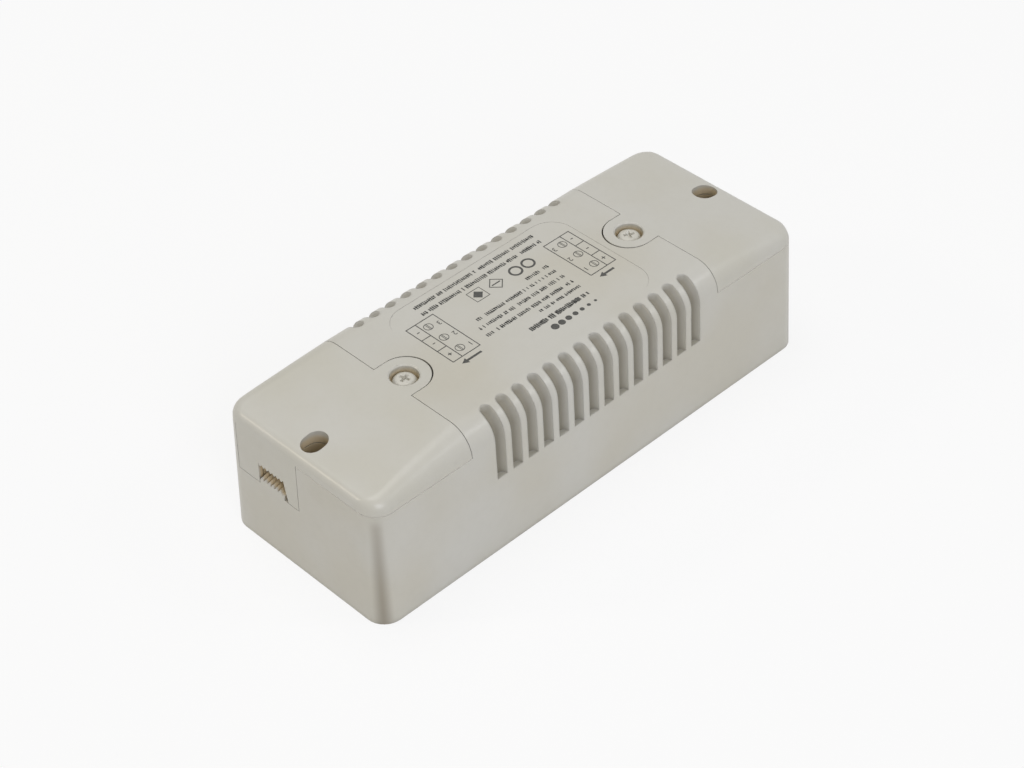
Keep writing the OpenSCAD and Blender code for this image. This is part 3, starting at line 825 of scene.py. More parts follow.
            # Painted shade at the groove bottoms, which also makes them duller
            groove_shade = self.grooves.bottoms(axes, level)
            tints.append((groove_shade, self.grooves.colour))
            roughness = roughness + groove_shade * self.grooves.dull
            soft = graph.rounded(self.grooves.rib_edge)
            normal = graph.turn(self.grooves.ribs(axes), normal, soft)
        colour: Value | Colour = self.colour
        for share, tint in tints:
            colour = graph.mix(share, colour, tint)
        height = grain * self.grain_height + mottle * self.mottle_height
        if self.marks:
            height = height - self.pressed(axes) * self.mark_depth
        graph.surface(Base_Color=colour, Roughness=roughness, IOR=self.ior,
                      Normal=graph.bump(height, self.grain_depth, normal))


@dataclass(frozen=True)
class Plastic(Finish):
    """Plain plastic or epoxy of the parts on the board, with specks and rubbed edges."""

    colour: Colour = srgb(30, 30, 32)
    speck: Colour = srgb(52, 52, 54)
    speck_scale: float = 2600
    grain_depth: float = 0.01 * MM
    roughness: float = 0.5
    edge: float = 0.12 * MM
    speck_span: Span = (0.5, 0.8)
    speck_share: float = 0.6
    edge_share: float = 0.4
    patch_scale: float = 210
    spread: float = 0.2

    def paint(self, graph: Graph) -> None:
        """Fills the material's nodes.

        Args:
            graph: The nodes.
        """
        specks = graph.noise(self.speck_scale, 3, GRAINY)
        normal = graph.rounded(self.edge)
        worn = graph.wear(normal) * self.edge_share
        pale = specks.ramp(*self.speck_span) * self.speck_share + worn
        patches = graph.noise(self.patch_scale)
        graph.surface(Base_Color=graph.mix(pale, self.colour, self.speck),
                      Roughness=self.roughness + patches.swing(self.spread),
                      Normal=graph.bump(specks, self.grain_depth, normal))


@dataclass(frozen=True)
class Metal(Finish):
    """Drawn, plated or turned metal, with brushed lines, dull spots and bright edges."""

    colour: Colour = srgb(206, 206, 204)
    dull: Colour = srgb(164, 163, 158)
    lines: Triple = (1, 1, 0.08)
    roughness: float = 0.3
    edge: float = 0.1 * MM
    edge_share: float = 0.4
    line_scale: float = 5200
    line_depth: float = 0.004 * MM
    line_spread: float = 0.12
    spot_scale: float = 620
    spot_span: Span = (0.35, 0.75)
    spot_share: float = 0.7
    spot_spread: float = 0.22

    def paint(self, graph: Graph) -> None:
        """Fills the material's nodes.

        Args:
            graph: The nodes.
        """
        brushed = graph.noise(self.line_scale, 2, CLOUDY, self.lines)
        spots = graph.noise(self.spot_scale, 3, CLOUDY)
        normal = graph.rounded(self.edge)
        dulled = spots.ramp(*self.spot_span) * self.spot_share
        colour = graph.mix(dulled, self.colour, self.dull)
        colour = graph.mix(graph.wear(normal) * self.edge_share, colour, self.colour)
        uneven = spots.swing(self.spot_spread) + brushed.swing(self.line_spread)
        graph.surface(Base_Color=colour, Metallic=1.0, Roughness=self.roughness + uneven,
                      Normal=graph.bump(brushed, self.line_depth, normal))


@dataclass(frozen=True)
class Lacquered(Finish):
    """Ivory lacquer on a steel screw head, rubbed through to the metal at its edges."""

    colour: Colour = srgb(205, 202, 191)
    steel: Colour = srgb(176, 172, 160)
    seat: float = SCREW_SEAT
    seat_blur: float = 0.05 * MM
    edge: float = 0.14 * MM
    spot_scale: float = 900
    bare_span: Span = (0.55, 0.75)
    roughness: float = 0.34
    spread: float = 0.2
    grain_depth: float = 0.006 * MM

    def paint(self, graph: Graph) -> None:
        """Fills the material's nodes.

        Args:
            graph: The nodes.
        """
        spots = graph.noise(self.spot_scale, 3, CLOUDY)
        normal = graph.rounded(self.edge)
        shank = graph.axes()[2].ramp(self.seat + self.seat_blur, self.seat - self.seat_blur)
        bare = (graph.wear(normal) * spots.ramp(*self.bare_span)).most(shank)
        graph.surface(Base_Color=graph.mix(bare, self.colour, self.steel), Metallic=shank,
                      Roughness=self.roughness + spots.swing(self.spread),
                      Normal=graph.bump(spots, self.grain_depth, normal))


@dataclass(frozen=True)
class Laminate(Finish):
    """Glass laminate under a coloured mask, with copper tracks, tinned pads and glass weave."""

    mask: Colour = srgb(24, 84, 50)
    track: Colour = srgb(38, 112, 66)
    core: Colour = srgb(176, 168, 120)
    tin: Colour = srgb(205, 204, 198)
    pitch: float = 2.54 * MM
    low: float = 6.5 * MM
    high: float = 8.1 * MM
    blur: float = 0.05 * MM
    under: float = 0.02 * MM
    wander: float = 9 * MM
    wander_scale: float = 70
    track_span: Span = (0.42 * MM, 0.34 * MM)
    pad_span: Span = (0.62 * MM, 0.55 * MM)
    pad_scale: float = 120
    pad_from: float = 0.56
    weave: float = 0.25 * MM
    weave_share: float = 0.12
    weave_height: float = 0.1
    roughness: float = 0.3
    weave_rough: float = 0.1
    side_rough: float = 0.3
    depth: float = 0.035 * MM

    def paint(self, graph: Graph) -> None:
        """Fills the material's nodes.

        Args:
            graph: The nodes.
        """
        x, y, z = graph.axes()
        along = (y + graph.noise(self.wander_scale, 0) * self.wander).fold(self.pitch / 2)
        tracks = along.ramp(*self.track_span)
        weave = (x.fold(self.weave) + y.fold(self.weave)) * (1 / (2 * self.weave))
        face = (z.ramp(self.low + self.blur, self.low - self.under)
                + z.ramp(self.high - self.blur, self.high)).least(1)
        reach = away(x.fold(self.pitch), y.fold(self.pitch))
        drilled = graph.noise(self.pad_scale, 0) > self.pad_from
        pads = reach.ramp(*self.pad_span) * face * drilled
        covered = graph.mix(tracks, self.mask, self.track)
        covered = graph.mix(weave * self.weave_share, covered, self.mask)
        rough = self.roughness + weave * self.weave_rough + (1 - face) * self.side_rough
        graph.surface(Base_Color=graph.mix(face, self.core, graph.mix(pads, covered, self.tin)),
                      Metallic=pads, Roughness=rough,
                      Normal=graph.bump(tracks + pads + weave * self.weave_height, self.depth))


@dataclass(frozen=True)
class Sleeve(Finish):
    """Shrunk sleeve of a capacitor: dark foil with a pale stripe, and the can's scored end."""

    colour: Colour = srgb(26, 30, 52)
    stripe: Colour = srgb(176, 180, 186)
    can: Colour = srgb(200, 201, 203)
    centre: float = 17.4 * MM
    apart: float = 5.8 * MM
    wrinkle_scale: float = 700
    wrinkle_stretch: Triple = (1, 1, 0.2)
    stripe_span: Span = (3.7 * MM, 3.9 * MM)
    dash: float = 2.2 * MM
    dash_from: float = 1.5 * MM
    end_z: Span = (24 * MM, 24.08 * MM)
    end_r: Span = (4.1 * MM, 3.9 * MM)
    score: Span = (0.22 * MM, 0.12 * MM)
    roughness: float = 0.32
    spread: float = 0.2
    depth: float = 0.16 * MM
    wrinkle_height: float = 0.1
    end_sink: float = 0.6

    def paint(self, graph: Graph) -> None:
        """Fills the material's nodes.

        Args:
            graph: The nodes.
        """
        x, y, z = graph.axes()
        wrinkle = graph.noise(self.wrinkle_scale, 2, CLOUDY, self.wrinkle_stretch)
        side, along = x - self.centre, abs(y) - self.apart
        striped = side.ramp(*self.stripe_span)
        minus = (z.fold(self.dash) > self.dash_from) * striped
        end = z.ramp(*self.end_z) * away(side, along).ramp(*self.end_r)
        score = abs(side).least(abs(along)).ramp(*self.score) * end
        colour = graph.mix(striped, self.colour, self.stripe)
        colour = graph.mix(minus, colour, self.colour)
        height = wrinkle * self.wrinkle_height - end * self.end_sink - score
        graph.surface(Base_Color=graph.mix(end, colour, self.can), Metallic=end,
                      Roughness=self.roughness + wrinkle.swing(self.spread),
                      Normal=graph.bump(height, self.depth))


@dataclass(frozen=True)
class Chips(Finish):
    """Small parts with tinned ends, in rows that lie along X."""

    body: Colour = srgb(28, 28, 30)
    rows: tuple[float, ...] = (3 * MM, -17.5 * MM)
    body_half: float = 0.66 * MM
    mirrored: bool = True
    speck: Colour = srgb(96, 92, 84)
    speck_share: float = 0.3
    speck_scale: float = 4200
    tin: Colour = srgb(206, 206, 202)
    tin_edge: float = 0.04 * MM
    tin_gloss: float = 0.2
    edge: float = 0.06 * MM
    roughness: float = 0.55
    spread: float = 0.1
    depth: float = 0.012 * MM

    def paint(self, graph: Graph) -> None:
        """Fills the material's nodes.

        Args:
            graph: The nodes.
        """
        y = graph.axes()[1]
        rows = self.rows + ((-self.rows[0],) if self.mirrored else ())
        off = abs(y - rows[0])
        for row in rows[1:]:
            off = off.least(abs(y - row))
        ends = off.ramp(self.body_half, self.body_half + self.tin_edge)
        specks = graph.noise(self.speck_scale, 3, GRAINY)
        body = graph.mix(specks * self.speck_share, self.body, self.speck)
        rough = self.roughness - ends * self.tin_gloss + specks.swing(self.spread)
        graph.surface(Base_Color=graph.mix(ends, body, self.tin), Metallic=ends, Roughness=rough,
                      Normal=graph.bump(specks, self.depth, graph.rounded(self.edge)))


@dataclass(frozen=True)
class PrintInk(Finish):
    """Dark grey pad print: slightly uneven cover with a soft sheen."""

    colour: Colour = srgb(58, 58, 54)
    thin: Colour = srgb(86, 85, 80)
    thin_span: Span = (0.4, 0.75)
    cover_scale: float = 2600
    roughness: float = 0.5
    spread: float = 0.2
    depth: float = 0.006 * MM

    def paint(self, graph: Graph) -> None:
        """Fills the material's nodes.

        Args:
            graph: The nodes.
        """
        cover = graph.noise(self.cover_scale, 3, GRAINY)
        graph.surface(Base_Color=graph.mix(cover.ramp(*self.thin_span), self.colour, self.thin),
                      Roughness=self.roughness + cover.swing(self.spread),
                      Normal=graph.bump(cover, self.depth))


# Camera and studio


@dataclass(frozen=True)
class PhotoCamera:
    """The camera where the photograph was taken from, found from the object's outline."""

    azimuth: float = -42.688
    elevation: float = 41.029
    roll: float = -2.286
    distance: float = 552.9 * MM
    right: float = -2.87 * MM
    up: float = 9.13 * MM
    lens: float = 86.03
    sensor: float = 36
    nearest: float = 10 * MM

    def place(self) -> None:
        """Makes the camera and gives it to the scene."""
        turn, rise, roll = (math.radians(v) for v in (self.azimuth, self.elevation, self.roll))
        back = Vector((math.sin(turn) * math.cos(rise), -math.cos(turn) * math.cos(rise),
                       math.sin(rise)))
        level = Vector((0, 0, 1)).cross(back).normalized()
        upright = back.cross(level)
        right = math.cos(roll) * level + math.sin(roll) * upright
        up = math.cos(roll) * upright - math.sin(roll) * level
        data = bpy.data.cameras.new("photo_camera")
        data.lens = self.lens
        data.sensor_fit = "HORIZONTAL"
        data.sensor_width = self.sensor
        data.clip_start = self.nearest
        camera = bpy.data.objects.new("photo_camera", data)
        camera.matrix_world = Matrix.Translation(
            right * self.right + up * self.up + back * self.distance
        ) @ Matrix((right, up, back)).transposed().to_4x4()
        bpy.context.scene.collection.objects.link(camera)
        bpy.context.scene.camera = camera


@dataclass(frozen=True)
class Lamp:
    """One soft round lamp."""

    name: str
    at: Triple
    size: float
    power: float
    colour: Triple = (1, 1, 1)

    def hang(self) -> None:
        """Hangs the lamp, facing the object."""
        data = bpy.data.lights.new(self.name, "AREA")
        data.shape = "DISK"
        data.size = self.size
        data.energy = self.power
        data.color = self.colour
        lamp = bpy.data.objects.new(self.name, data)
        lamp.location = self.at
        lamp.rotation_euler = Vector(self.at).to_track_quat("Z", "Y").to_euler()
        bpy.context.scene.collection.objects.link(lamp)


@dataclass
class Studio:
    """A pale floor, soft lamps all round and a white background."""

    floor_half: float = 4.0
    floor_drop: float = 0.02 * MM
    floor_colour: Colour = srgb(240, 240, 239)
    floor_white: float = 0.82
    white: Colour = (1, 1, 1, 1)
    ambient: float = 0.3
    lamps: list[Lamp] = field(default_factory=lambda: [
        Lamp("top_lamp", (-0.05, 0.25, 1.3), 1.1, 6.6),
        Lamp("side_lamp", (-0.52, -1.18, 0.78), 0.8, 7.2, (0.97, 0.98, 1.08)),
        Lamp("end_lamp", (-0.98, 0.83, 0.77), 0.2, 2.2, (1.0, 0.88, 0.7)),
        Lamp("edge_lamp", (0.75, -0.83, 0.98), 0.3, 1.6),
    ])

    def seen(self, tree: Tree) -> Value:
        """Finds where the camera, a reflection or glass sees the surface.

        Args:
            tree: The nodes of the world or of a material.

        Returns:
            One where it is seen and nothing elsewhere.
        """
        path = tree.node("ShaderNodeLightPath").socket.node.outputs
        camera, glossy, through = (
            Value(tree, path[f"Is {ray} Ray"]) for ray in ("Camera", "Glossy", "Transmission"))
        return (camera + glossy + through).least(1)

    def lay_floor(self) -> None:
        """Lays the floor, which shows white but for the object's shadow."""
        half = self.floor_half
        corners = [(-half, -half, 0), (half, -half, 0), (half, half, 0), (-half, half, 0)]
        mesh = bpy.data.meshes.new("floor")
        mesh.from_pydata(corners, [], [(0, 1, 2, 3)])
        graph = Graph("pale_floor")
        paper = graph.node("ShaderNodeBsdfDiffuse", {}, {"Color": self.floor_colour})
        white = graph.node("ShaderNodeEmission", {}, {"Color": self.white, "Strength": 1.0})
        shown = graph.node("ShaderNodeMixShader", {},
                           {0: self.seen(graph) * self.floor_white, 1: paper, 2: white})
        graph.node("ShaderNodeOutputMaterial", {}, {"Surface": shown})
        mesh.materials.append(graph.material)
        floor = linked("floor", mesh)
        floor.location.z = -self.floor_drop

    def light(self) -> None:
        """Makes the world and hangs the lamps."""
        world = bpy.data.worlds.new("studio")
        bpy.context.scene.world = world
        world.use_nodes = True
        tree = Tree(world.node_tree)
        tree.nodes.nodes.clear()
        soft, bright = (
            tree.node("ShaderNodeBackground", {}, {"Color": self.white, "Strength": strength})
            for strength in (self.ambient, 1.0))
        mixed = tree.node("ShaderNodeMixShader", {}, {0: self.seen(tree), 1: soft, 2: bright})
        tree.node("ShaderNodeOutputWorld", {}, {"Surface": mixed})
        for lamp in self.lamps:
            lamp.hang()

    def build(self) -> None:
        """Sets the studio up."""
        bpy.context.scene.view_settings.view_transform = "Standard"
        self.lay_floor()
        self.light()


# Sub-assemblies


@dataclass
class MouldedShell:
    """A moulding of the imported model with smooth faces, sharp edges and a moulded finish."""

    node: str
    finish: Finish
    merge: float = 0.002 * MM
    flat: float = 0.2
    crease: float = 40

    def smooth_copy(self) -> bpy.types.Mesh:
        """Copies the node's mesh as one skin.

        Returns:
            The mesh, with flat faces whole, all faces smooth and sharp edges marked.
        """
        mesh = bpy.data.meshes.new(f"{self.node}_skin")
        with editing(mesh) as work:
            work.from_mesh(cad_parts[self.node].data)
            bmesh.ops.remove_doubles(work, verts=work.verts, dist=self.merge)
            bmesh.ops.dissolve_limit(work, angle_limit=math.radians(self.flat), verts=work.verts,
                                     edges=work.edges)
            shade(work, self.crease)
        return mesh

    def build(self) -> None:
        """Makes the shell that stands for the node."""
        carrier = linked(f"{self.node}_carrier", self.smooth_copy())
        modifier = carrier.modifiers.new("even_normals", "WEIGHTED_NORMAL")
        modifier.mode = "FACE_AREA"
        modifier.keep_sharp = True
        shell = evaluated(carrier, f"{self.node}_shell")
        shell.data.materials.clear()
        shell.data.materials.append(self.finish.material())
        finish_piece(shell, Slot.IVORY, [self.node])


@dataclass
class ScrewSet:
    """Equal screws on their seats, each turned as the hand left it.

    Shares count the head's height or radius, the point's radii count the shank's, and the drive's
    foot and mouth count its length and width.
    """

    name: str
    node: str
    finish: Finish
    slot: Slot
    seats: list[Triple]
    head_d: float
    head_h: float
    shank_d: float
    shank_l: float
    rim: float = 0.12 * MM
    rim_share: float = 0.34
    dome: Point = (0.42, 0.58)
    dome_power: float = 0.8
    dome_rings: int = 8
    crown_share: float = 0.2
    drive_l: float = 2.8 * MM
    drive_w: float = 0.7 * MM
    drive_depth: float = 0.85 * MM
    drive_foot: Point = (0.55, 0.8)
    drive_mouth: Point = (1.08, 1.08)
    drive_over: float = 0.3 * MM
    pitch: float = 1.0 * MM
    rings_per_turn: int = 6
    thread: float = 0.3 * MM
    thread_steep: float = 1.6
    neck: float = 0.4 * MM
    point: float = 1.5 * MM
    point_shares: Point = (0.12, 0.6)
    segments: int = 40
    crease: float = 38
    turn: float = 1.4
    seed: int = 3

    def outline(self) -> list[Point]:
        """Profile of the screw from its point to the middle of its head.

        Returns:
            Radius and height of each ring, from the seat.
        """
        core, rim = self.shank_d / 2, self.head_d / 2
        threaded = self.shank_l - self.point
        steps = round(threaded / self.pitch * self.rings_per_turn)
        low, high = self.point_shares
        points = [(low * core, -self.shank_l), (high * core, self.point / 2 - self.shank_l)]
        points += [(core, threaded * k / steps - threaded) for k in range(steps + 1)]
        start = self.rim_share * self.head_h
        points += [(rim - self.rim, 0.0), (rim, self.rim), (rim, start)]
        for k in range(1, self.dome_rings):
            angle = math.pi / 2 * k / self.dome_rings
            share = self.dome[0] + self.dome[1] * math.cos(angle) ** self.dome_power
            points.append((rim * share, start + (self.head_h - start) * math.sin(angle)))
        return points + [(rim * self.crown_share, self.head_h)]

    def ring(self, radius: float, height: float) -> list[Vector]:
        """One ring of the screw, cut by the thread where it lies on the shank.

        Args:
            radius: Its radius.
            height: Its height from the seat.

        Returns:
            The points of the ring.
        """
        points = []
        on_shank = self.point - self.shank_l < height < -self.neck and radius <= self.shank_d / 2
        for k in range(self.segments):
            angle = math.tau * k / self.segments
            wave = abs((height / self.pitch - k / self.segments) % 1 * 2 - 1)
            cut = self.thread * min(1, self.thread_steep * wave) if on_shank else 0
            points.append(Vector(((radius - cut) * math.cos(angle),
                                  (radius - cut) * math.sin(angle), height)))
        return points

    def cross(self, shares: Point, height: float) -> list[Vector]:
        """Outline of the cross recess at one height.

        Args:
            shares: Its length and width as shares of the drive's.
            height: The height.

        Returns:
            Its twelve corners.
        """
        a, w = self.drive_l * shares[0] / 2, self.drive_w * shares[1] / 2
        points, quarter = [], [(a, -w), (a, w), (w, w)]
        for _ in range(4):
            points += [Vector((x, y, height)) for x, y in quarter]
            quarter = [(-y, x) for x, y in quarter]
        return points

    def solid(self, part: str, rings: Sequence[Sequence[Vector]]) -> bpy.types.Object:
        """Makes a closed body from rings."""
        name = f"{self.name}_{part}"
        return linked(name, mesh_of(name, lambda work: skin(work, rings)))

    def screw(self) -> bpy.types.Object:
        """Makes one screw on the origin, its drive cut into its head.

        Returns:
            The screw, as a pattern for the others.
        """
        body = self.solid("body", [self.ring(*place) for place in self.outline()])
        cutter = self.solid("drive", [
            self.cross(self.drive_foot, self.head_h - self.drive_depth),
            self.cross(self.drive_mouth, self.head_h + self.drive_over)])
        cut = body.modifiers.new("drive", "BOOLEAN")
        cut.operation, cut.solver, cut.object = "DIFFERENCE", "EXACT", cutter
        made = evaluated(body, f"{self.name}_one")
        bpy.data.objects.remove(cutter)
        with editing(made.data) as work:
            shade(work, self.crease)
        return made

    def build(self) -> None:
        """Puts a screw on every seat."""
        one = self.screw()
        pattern = Pattern(self.name)
        shape = pattern.node("GeometryNodeObjectInfo", {},
                             {"Object": pattern.size("Screw", one, "Object")}, "Geometry")
        most = pattern.size("Turn", (0.0, 0.0, self.turn), "Vector")
        turned = pattern.random("FLOAT_VECTOR", pattern.size("Seed", self.seed, "Int"), Max=most)
        seats = bpy.data.meshes.new(f"{self.name}_seats")
        seats.from_pydata(self.seats, [], [])
        placed = pattern.instances(pattern.base(), shape, turned)
        made = pattern.piece(placed, self.finish.material(), seats)
        bpy.data.objects.remove(one)
        finish_piece(made, self.slot, [self.node])


@dataclass
class PrintedPanel:
    """The label's print: two terminal diagrams, rows of small marks, and plain shapes.

    Places and widths on the label are millimetres. Only the heights low and high are metres.
    A box holds its lowest X and Y and its highest. An arrow holds its tip and its length, a ring
    its middle, radius, line, sides and turn. A row of marks holds its start and end along X, its
    place along Y, and the height and width of its ticks.
    """

    low: float = 35.94 * MM
    high: float = 35.985 * MM
    line: float = 0.2
    near: tuple[float, float, float, float] = (-24.0, -4.4, -16.2, 10.4)
    far: tuple[float, float, float, float] = (16.9, -4.9, 24.6, 9.9)
    strip: float = 2.65
    poles: int = 3
    sign_reach: tuple[float, ...] = (0.5, 0.34, 0.34)
    sign_line: float = 0.22
    screw_in: float = 1.6
    screw_r: float = 1.12
    screw_line: float = 0.15
    slit_side: float = 0.16
    slit_end: float = 0.17
    slit_line: float = 0.12
    arrows: tuple[Triple, ...] = ((-23.0, -6.1, 5.6), (17.9, -6.6, 4.4))
    arrow_head: Point = (1.5, 0.85)
    arrow_shaft: float = 0.28
    dots: int = 7
    first_dot: Point = (11.4, -11.6)
    dot_pitch: float = 2.05
    dot_r: float = 0.35
    dot_growth: float = 0.1
    rings: tuple[tuple[float, float, float, float, int, float], ...] = (
        (10.4, 8.2, 1.7, 0.5, 32, 0),
        (6.6, 8.2, 1.7, 0.5, 32, 0),
        (0.6, 8.2, 2.1, 0.3, 4, 0),
        (-4.8, 8.2, 2.7, 0.2, 4, 45),
    )
    dash: tuple[Point, Point] = ((-0.6, 8.2), (1.8, 8.2))
    dash_line: float = 0.3
    diamond: tuple[Point, ...] = ((-4.8, 9.6), (-6.2, 8.2), (-4.8, 6.8), (-3.4, 8.2))
    figure_size: float = 1.9
    figure_in: Point = (0.9, 1.0)
    first_figure: float = 2.5
    figure_pitch: float = 4.9
    rows: tuple[tuple[float, float, float, float, float], ...] = (
        (12.5, -5.4, -8.6, 1.5, 0.42),
        (12.5, 0.2, -5.6, 1.0, 0.26),
        (12.5, -13.4, -3.3, 1.15, 0.28),
        (12.5, -13.5, -0.6, 1.15, 0.26),
        (12.5, -11.6, 2.0, 1.15, 0.26),
        (12.5, 5.9, 4.4, 1.15, 0.26),
        (17.6, -17.8, 11.9, 1.25, 0.3),
        (17.7, -18.2, 14.55, 1.25, 0.3),
    )
    tick_pitch: float = 0.52
    tick_least: Triple = (0.75, 0.62, 1.0)
    tick_most: Triple = (1.2, 1.0, 1.0)
    space_share: float = 0.17
    plain_share: float = 0.5
    cross_line: float = 0.22
    seed: int = 11
    ink: Finish = PrintInk("print_ink")

    def prism(self, work: bmesh.types.BMesh, outline: Sequence[Point]) -> None:
        """Adds a flat shape of ink with this outline."""
        levels = (self.low, self.high)
        skin(work, [[Vector((x * MM, y * MM, z)) for x, y in outline] for z in levels])

    def bar(self, work: bmesh.types.BMesh, start: Point, end: Point, width: float) -> None:
        """Adds a straight line of ink.

        Args:
            work: The mesh that gets it.
            start: One end.
            end: The other end.
            width: Its width.
        """
        a, b = Vector(start), Vector(end)
        along = (b - a).normalized() * width / 2
        side = Vector((-along.y, along.x))
        self.prism(work, [tuple(p) for p in (a - side, b - side, b + side, a + side)])

    def ring(self, work: bmesh.types.BMesh, at: Point, radius: float, width: float,
             sides: int = 32, turn: float = 0.0) -> None:
        """Adds a closed ring of ink, round or with few sides.

        Args:
            work: The mesh that gets it.
            at: Its middle.
            radius: Its outer radius.
            width: Width of its line.
            sides: How many sides it has.
            turn: Angle of its first corner in degrees.
        """
        inner = radius - width
        section = ((inner, self.low), (radius, self.low), (radius, self.high), (inner, self.high))
        rings = []
        for k in range(sides):
            angle = math.radians(turn) + math.tau * k / sides
            x, y = math.cos(angle), math.sin(angle)
            rings.append([Vector(((at[0] + x * r) * MM, (at[1] + y * r) * MM, z))
                          for r, z in section])
        skin(work, rings, loop=True)

    def disc(self, work: bmesh.types.BMesh, at: Point, radius: float, sides: int = 24) -> None:
        """Adds a full disc of ink."""
        angles = [math.tau * k / sides for k in range(sides)]
        self.prism(work, [(at[0] + radius * math.cos(a), at[1] + radius * math.sin(a))
                          for a in angles])

    def sheet(self, work: bmesh.types.BMesh, box: Sequence[float]) -> None:
        """Adds the outline of a rectangle.

        Args:
            work: The mesh that gets it.
            box: Its lowest X and Y and its highest X and Y.
        """
        x0, y0, x1, y1 = box
        half = self.line / 2
        for y in (y0, y1):
            self.bar(work, (x0 - half, y), (x1 + half, y), self.line)
        for x in (x0, x1):
            self.bar(work, (x, y0 + half), (x, y1 - half), self.line)

    def screw_sign(self, work: bmesh.types.BMesh, at: Point) -> None:
        """Adds a screw head: a ring round the two lines of its slit.

        Args:
            work: The mesh that gets it.
            at: Its middle.
        """
        self.ring(work, at, self.screw_r, self.screw_line)
        reach = self.screw_r - self.slit_end
        for x in (at[0] - self.slit_side, at[0] + self.slit_side):
            self.bar(work, (x, at[1] - reach), (x, at[1] + reach), self.slit_line)

    def diagram(self, work: bmesh.types.BMesh, box: Sequence[float], outer: int) -> None:
        """Adds a terminal diagram: three screws beside three cells, of which one holds a plus.

        Args:
            work: The mesh that gets it.
            box: The rectangle round it.
            outer: The side along X on which the cells lie, -1 or 1.
        """
        x0, y0, x1, y1 = box
        half = self.line / 2
        self.sheet(work, box)
        edge_x = x0 if outer < 0 else x1
        inner_x = edge_x - outer * self.strip
        self.bar(work, (inner_x, y0 + half), (inner_x, y1 - half), self.line)
        low_x, high_x = sorted((edge_x, inner_x))
        cell_x = (low_x + high_x) / 2
        step = (y1 - y0) / self.poles
        for k in range(1, self.poles):
            y = y0 + k * step
            self.bar(work, (low_x + half, y), (high_x - half, y), self.line)
        for k, reach in enumerate(self.sign_reach):
            y = y0 + (k + 0.5) * step
            self.bar(work, (cell_x - reach, y), (cell_x + reach, y), self.sign_line)
            if k == 0:
                for way in (-1, 1):
                    self.bar(work, (cell_x, y + way * self.sign_line / 2),
                             (cell_x, y + way * reach), self.sign_line)
            self.screw_sign(work, (inner_x - outer * self.screw_in, y))

    def arrow(self, work: bmesh.types.BMesh, x: float, y: float, length: float) -> None:
        """Adds a solid arrow that points towards -X.

        Args:
            work: The mesh that gets it.
            x: Place of its tip along X.
            y: Place of its tip along Y.
            length: Its length.
        """
        back, wide = self.arrow_head
        thin = self.arrow_shaft
        half = [(x + back, wide), (x + back, thin), (x + length, thin)]
        self.prism(work, [(x, y)] + [(at, y + off) for at, off in half]
                   + [(at, y - off) for at, off in reversed(half)])

    def shapes(self, work: bmesh.types.BMesh) -> None:
        """Adds all shapes but the rows of small marks.

        Args:
            work: The mesh that gets them.
        """
        self.diagram(work, self.near, -1)
        self.diagram(work, self.far, 1)
        for arrow in self.arrows:
            self.arrow(work, *arrow)
        # Steps of the dimmer, from dim to bright
        x, y = self.first_dot
        for k in range(self.dots):
            self.disc(work, (x - self.dot_pitch * k, y), self.dot_r + self.dot_growth * k)
        for at_x, at_y, *rest in self.rings:
            self.ring(work, (at_x, at_y), *rest)
        self.bar(work, *self.dash, self.dash_line)
        self.prism(work, self.diamond)

    def numbers(self) -> list[bpy.types.Object]:
        """Makes the numbers of the terminals, to be read from the far side.

        Returns:
            One object for each number.
        """
        made = []
        first = self.far[1] + self.first_figure
        columns = (self.far[0] + self.figure_in[0], self.near[2] - self.figure_in[1])
        for k in range(self.poles):
            for x in columns:
                text = bpy.data.curves.new(f"number_{k}_{x:.0f}", "FONT")
                text.body = str(k + 1)
                text.size = self.figure_size * MM
                text.align_x, text.align_y = "CENTER", "CENTER"
                text.extrude = (self.high - self.low) / 2
                number = bpy.data.objects.new(text.name, text)
                bpy.context.scene.collection.objects.link(number)
                flat = evaluated(number, text.name)
                middle = (x * MM, (first + k * self.figure_pitch) * MM, (self.low + self.high) / 2)
                flat.data.transform(Matrix.Translation(middle) @ Matrix.Rotation(math.pi, 4, "Z"))
                made.append(flat)
        return made

    def small_marks(self) -> bpy.types.Object:
        """Lays the rows of small marks: ticks in groups, of uneven height, some with a cross line.

        Returns:
            The piece.
        """
        pattern = Pattern("small_print")
        pitch = pattern.size("Pitch", self.tick_pitch * MM)
        seed = pattern.size("Seed", self.seed, "Int")
        thick = pattern.size("Thickness", self.high - self.low)
        level = (self.low + self.high) / 2
        parts = []
        for k, (start, end, y, height, width) in enumerate(self.rows):
            seeds = {draw: seed + (draw.value + k) for draw in Draw}
            step = pattern.node("ShaderNodeCombineXYZ", {}, {0: pitch * -1.0})
            line = pattern.node("GeometryNodeMeshLine", {"mode": "OFFSET"},
                                {"Count": int((start - end) / self.tick_pitch) + 1,
                                 "Start Location": (start * MM, y * MM, level), "Offset": step})
            spaces = pattern.random("BOOLEAN", seeds[Draw.SPACES], Probability=self.space_share,
                                    ID=pattern.node("GeometryNodeInputIndex"))
            spaced = pattern.node("GeometryNodeDeleteGeometry", {"domain": "POINT"},
                                  {0: line, 1: spaces})
            stretch = pattern.random("FLOAT_VECTOR", seeds[Draw.STRETCH], Min=self.tick_least,
                                     Max=self.tick_most)
            tick = pattern.box(width * MM, height * MM, thick)
            parts.append(pattern.instances(spaced, tick, scale=stretch))
            plain = pattern.random("BOOLEAN", seeds[Draw.PLAIN], Probability=self.plain_share)
            few = pattern.node("GeometryNodeDeleteGeometry", {"domain": "POINT"},
                               {0: spaced, 1: plain})
            third = height / 3 * MM
            lift = pattern.random("FLOAT_VECTOR", seeds[Draw.LIFT], Min=(0, -third, 0),
                                  Max=(0, third, 0))
            lifted = pattern.node("GeometryNodeSetPosition", {}, {"Geometry": few, "Offset": lift})
            parts.append(pattern.instances(lifted, pattern.box(pitch, self.cross_line * MM, thick)))
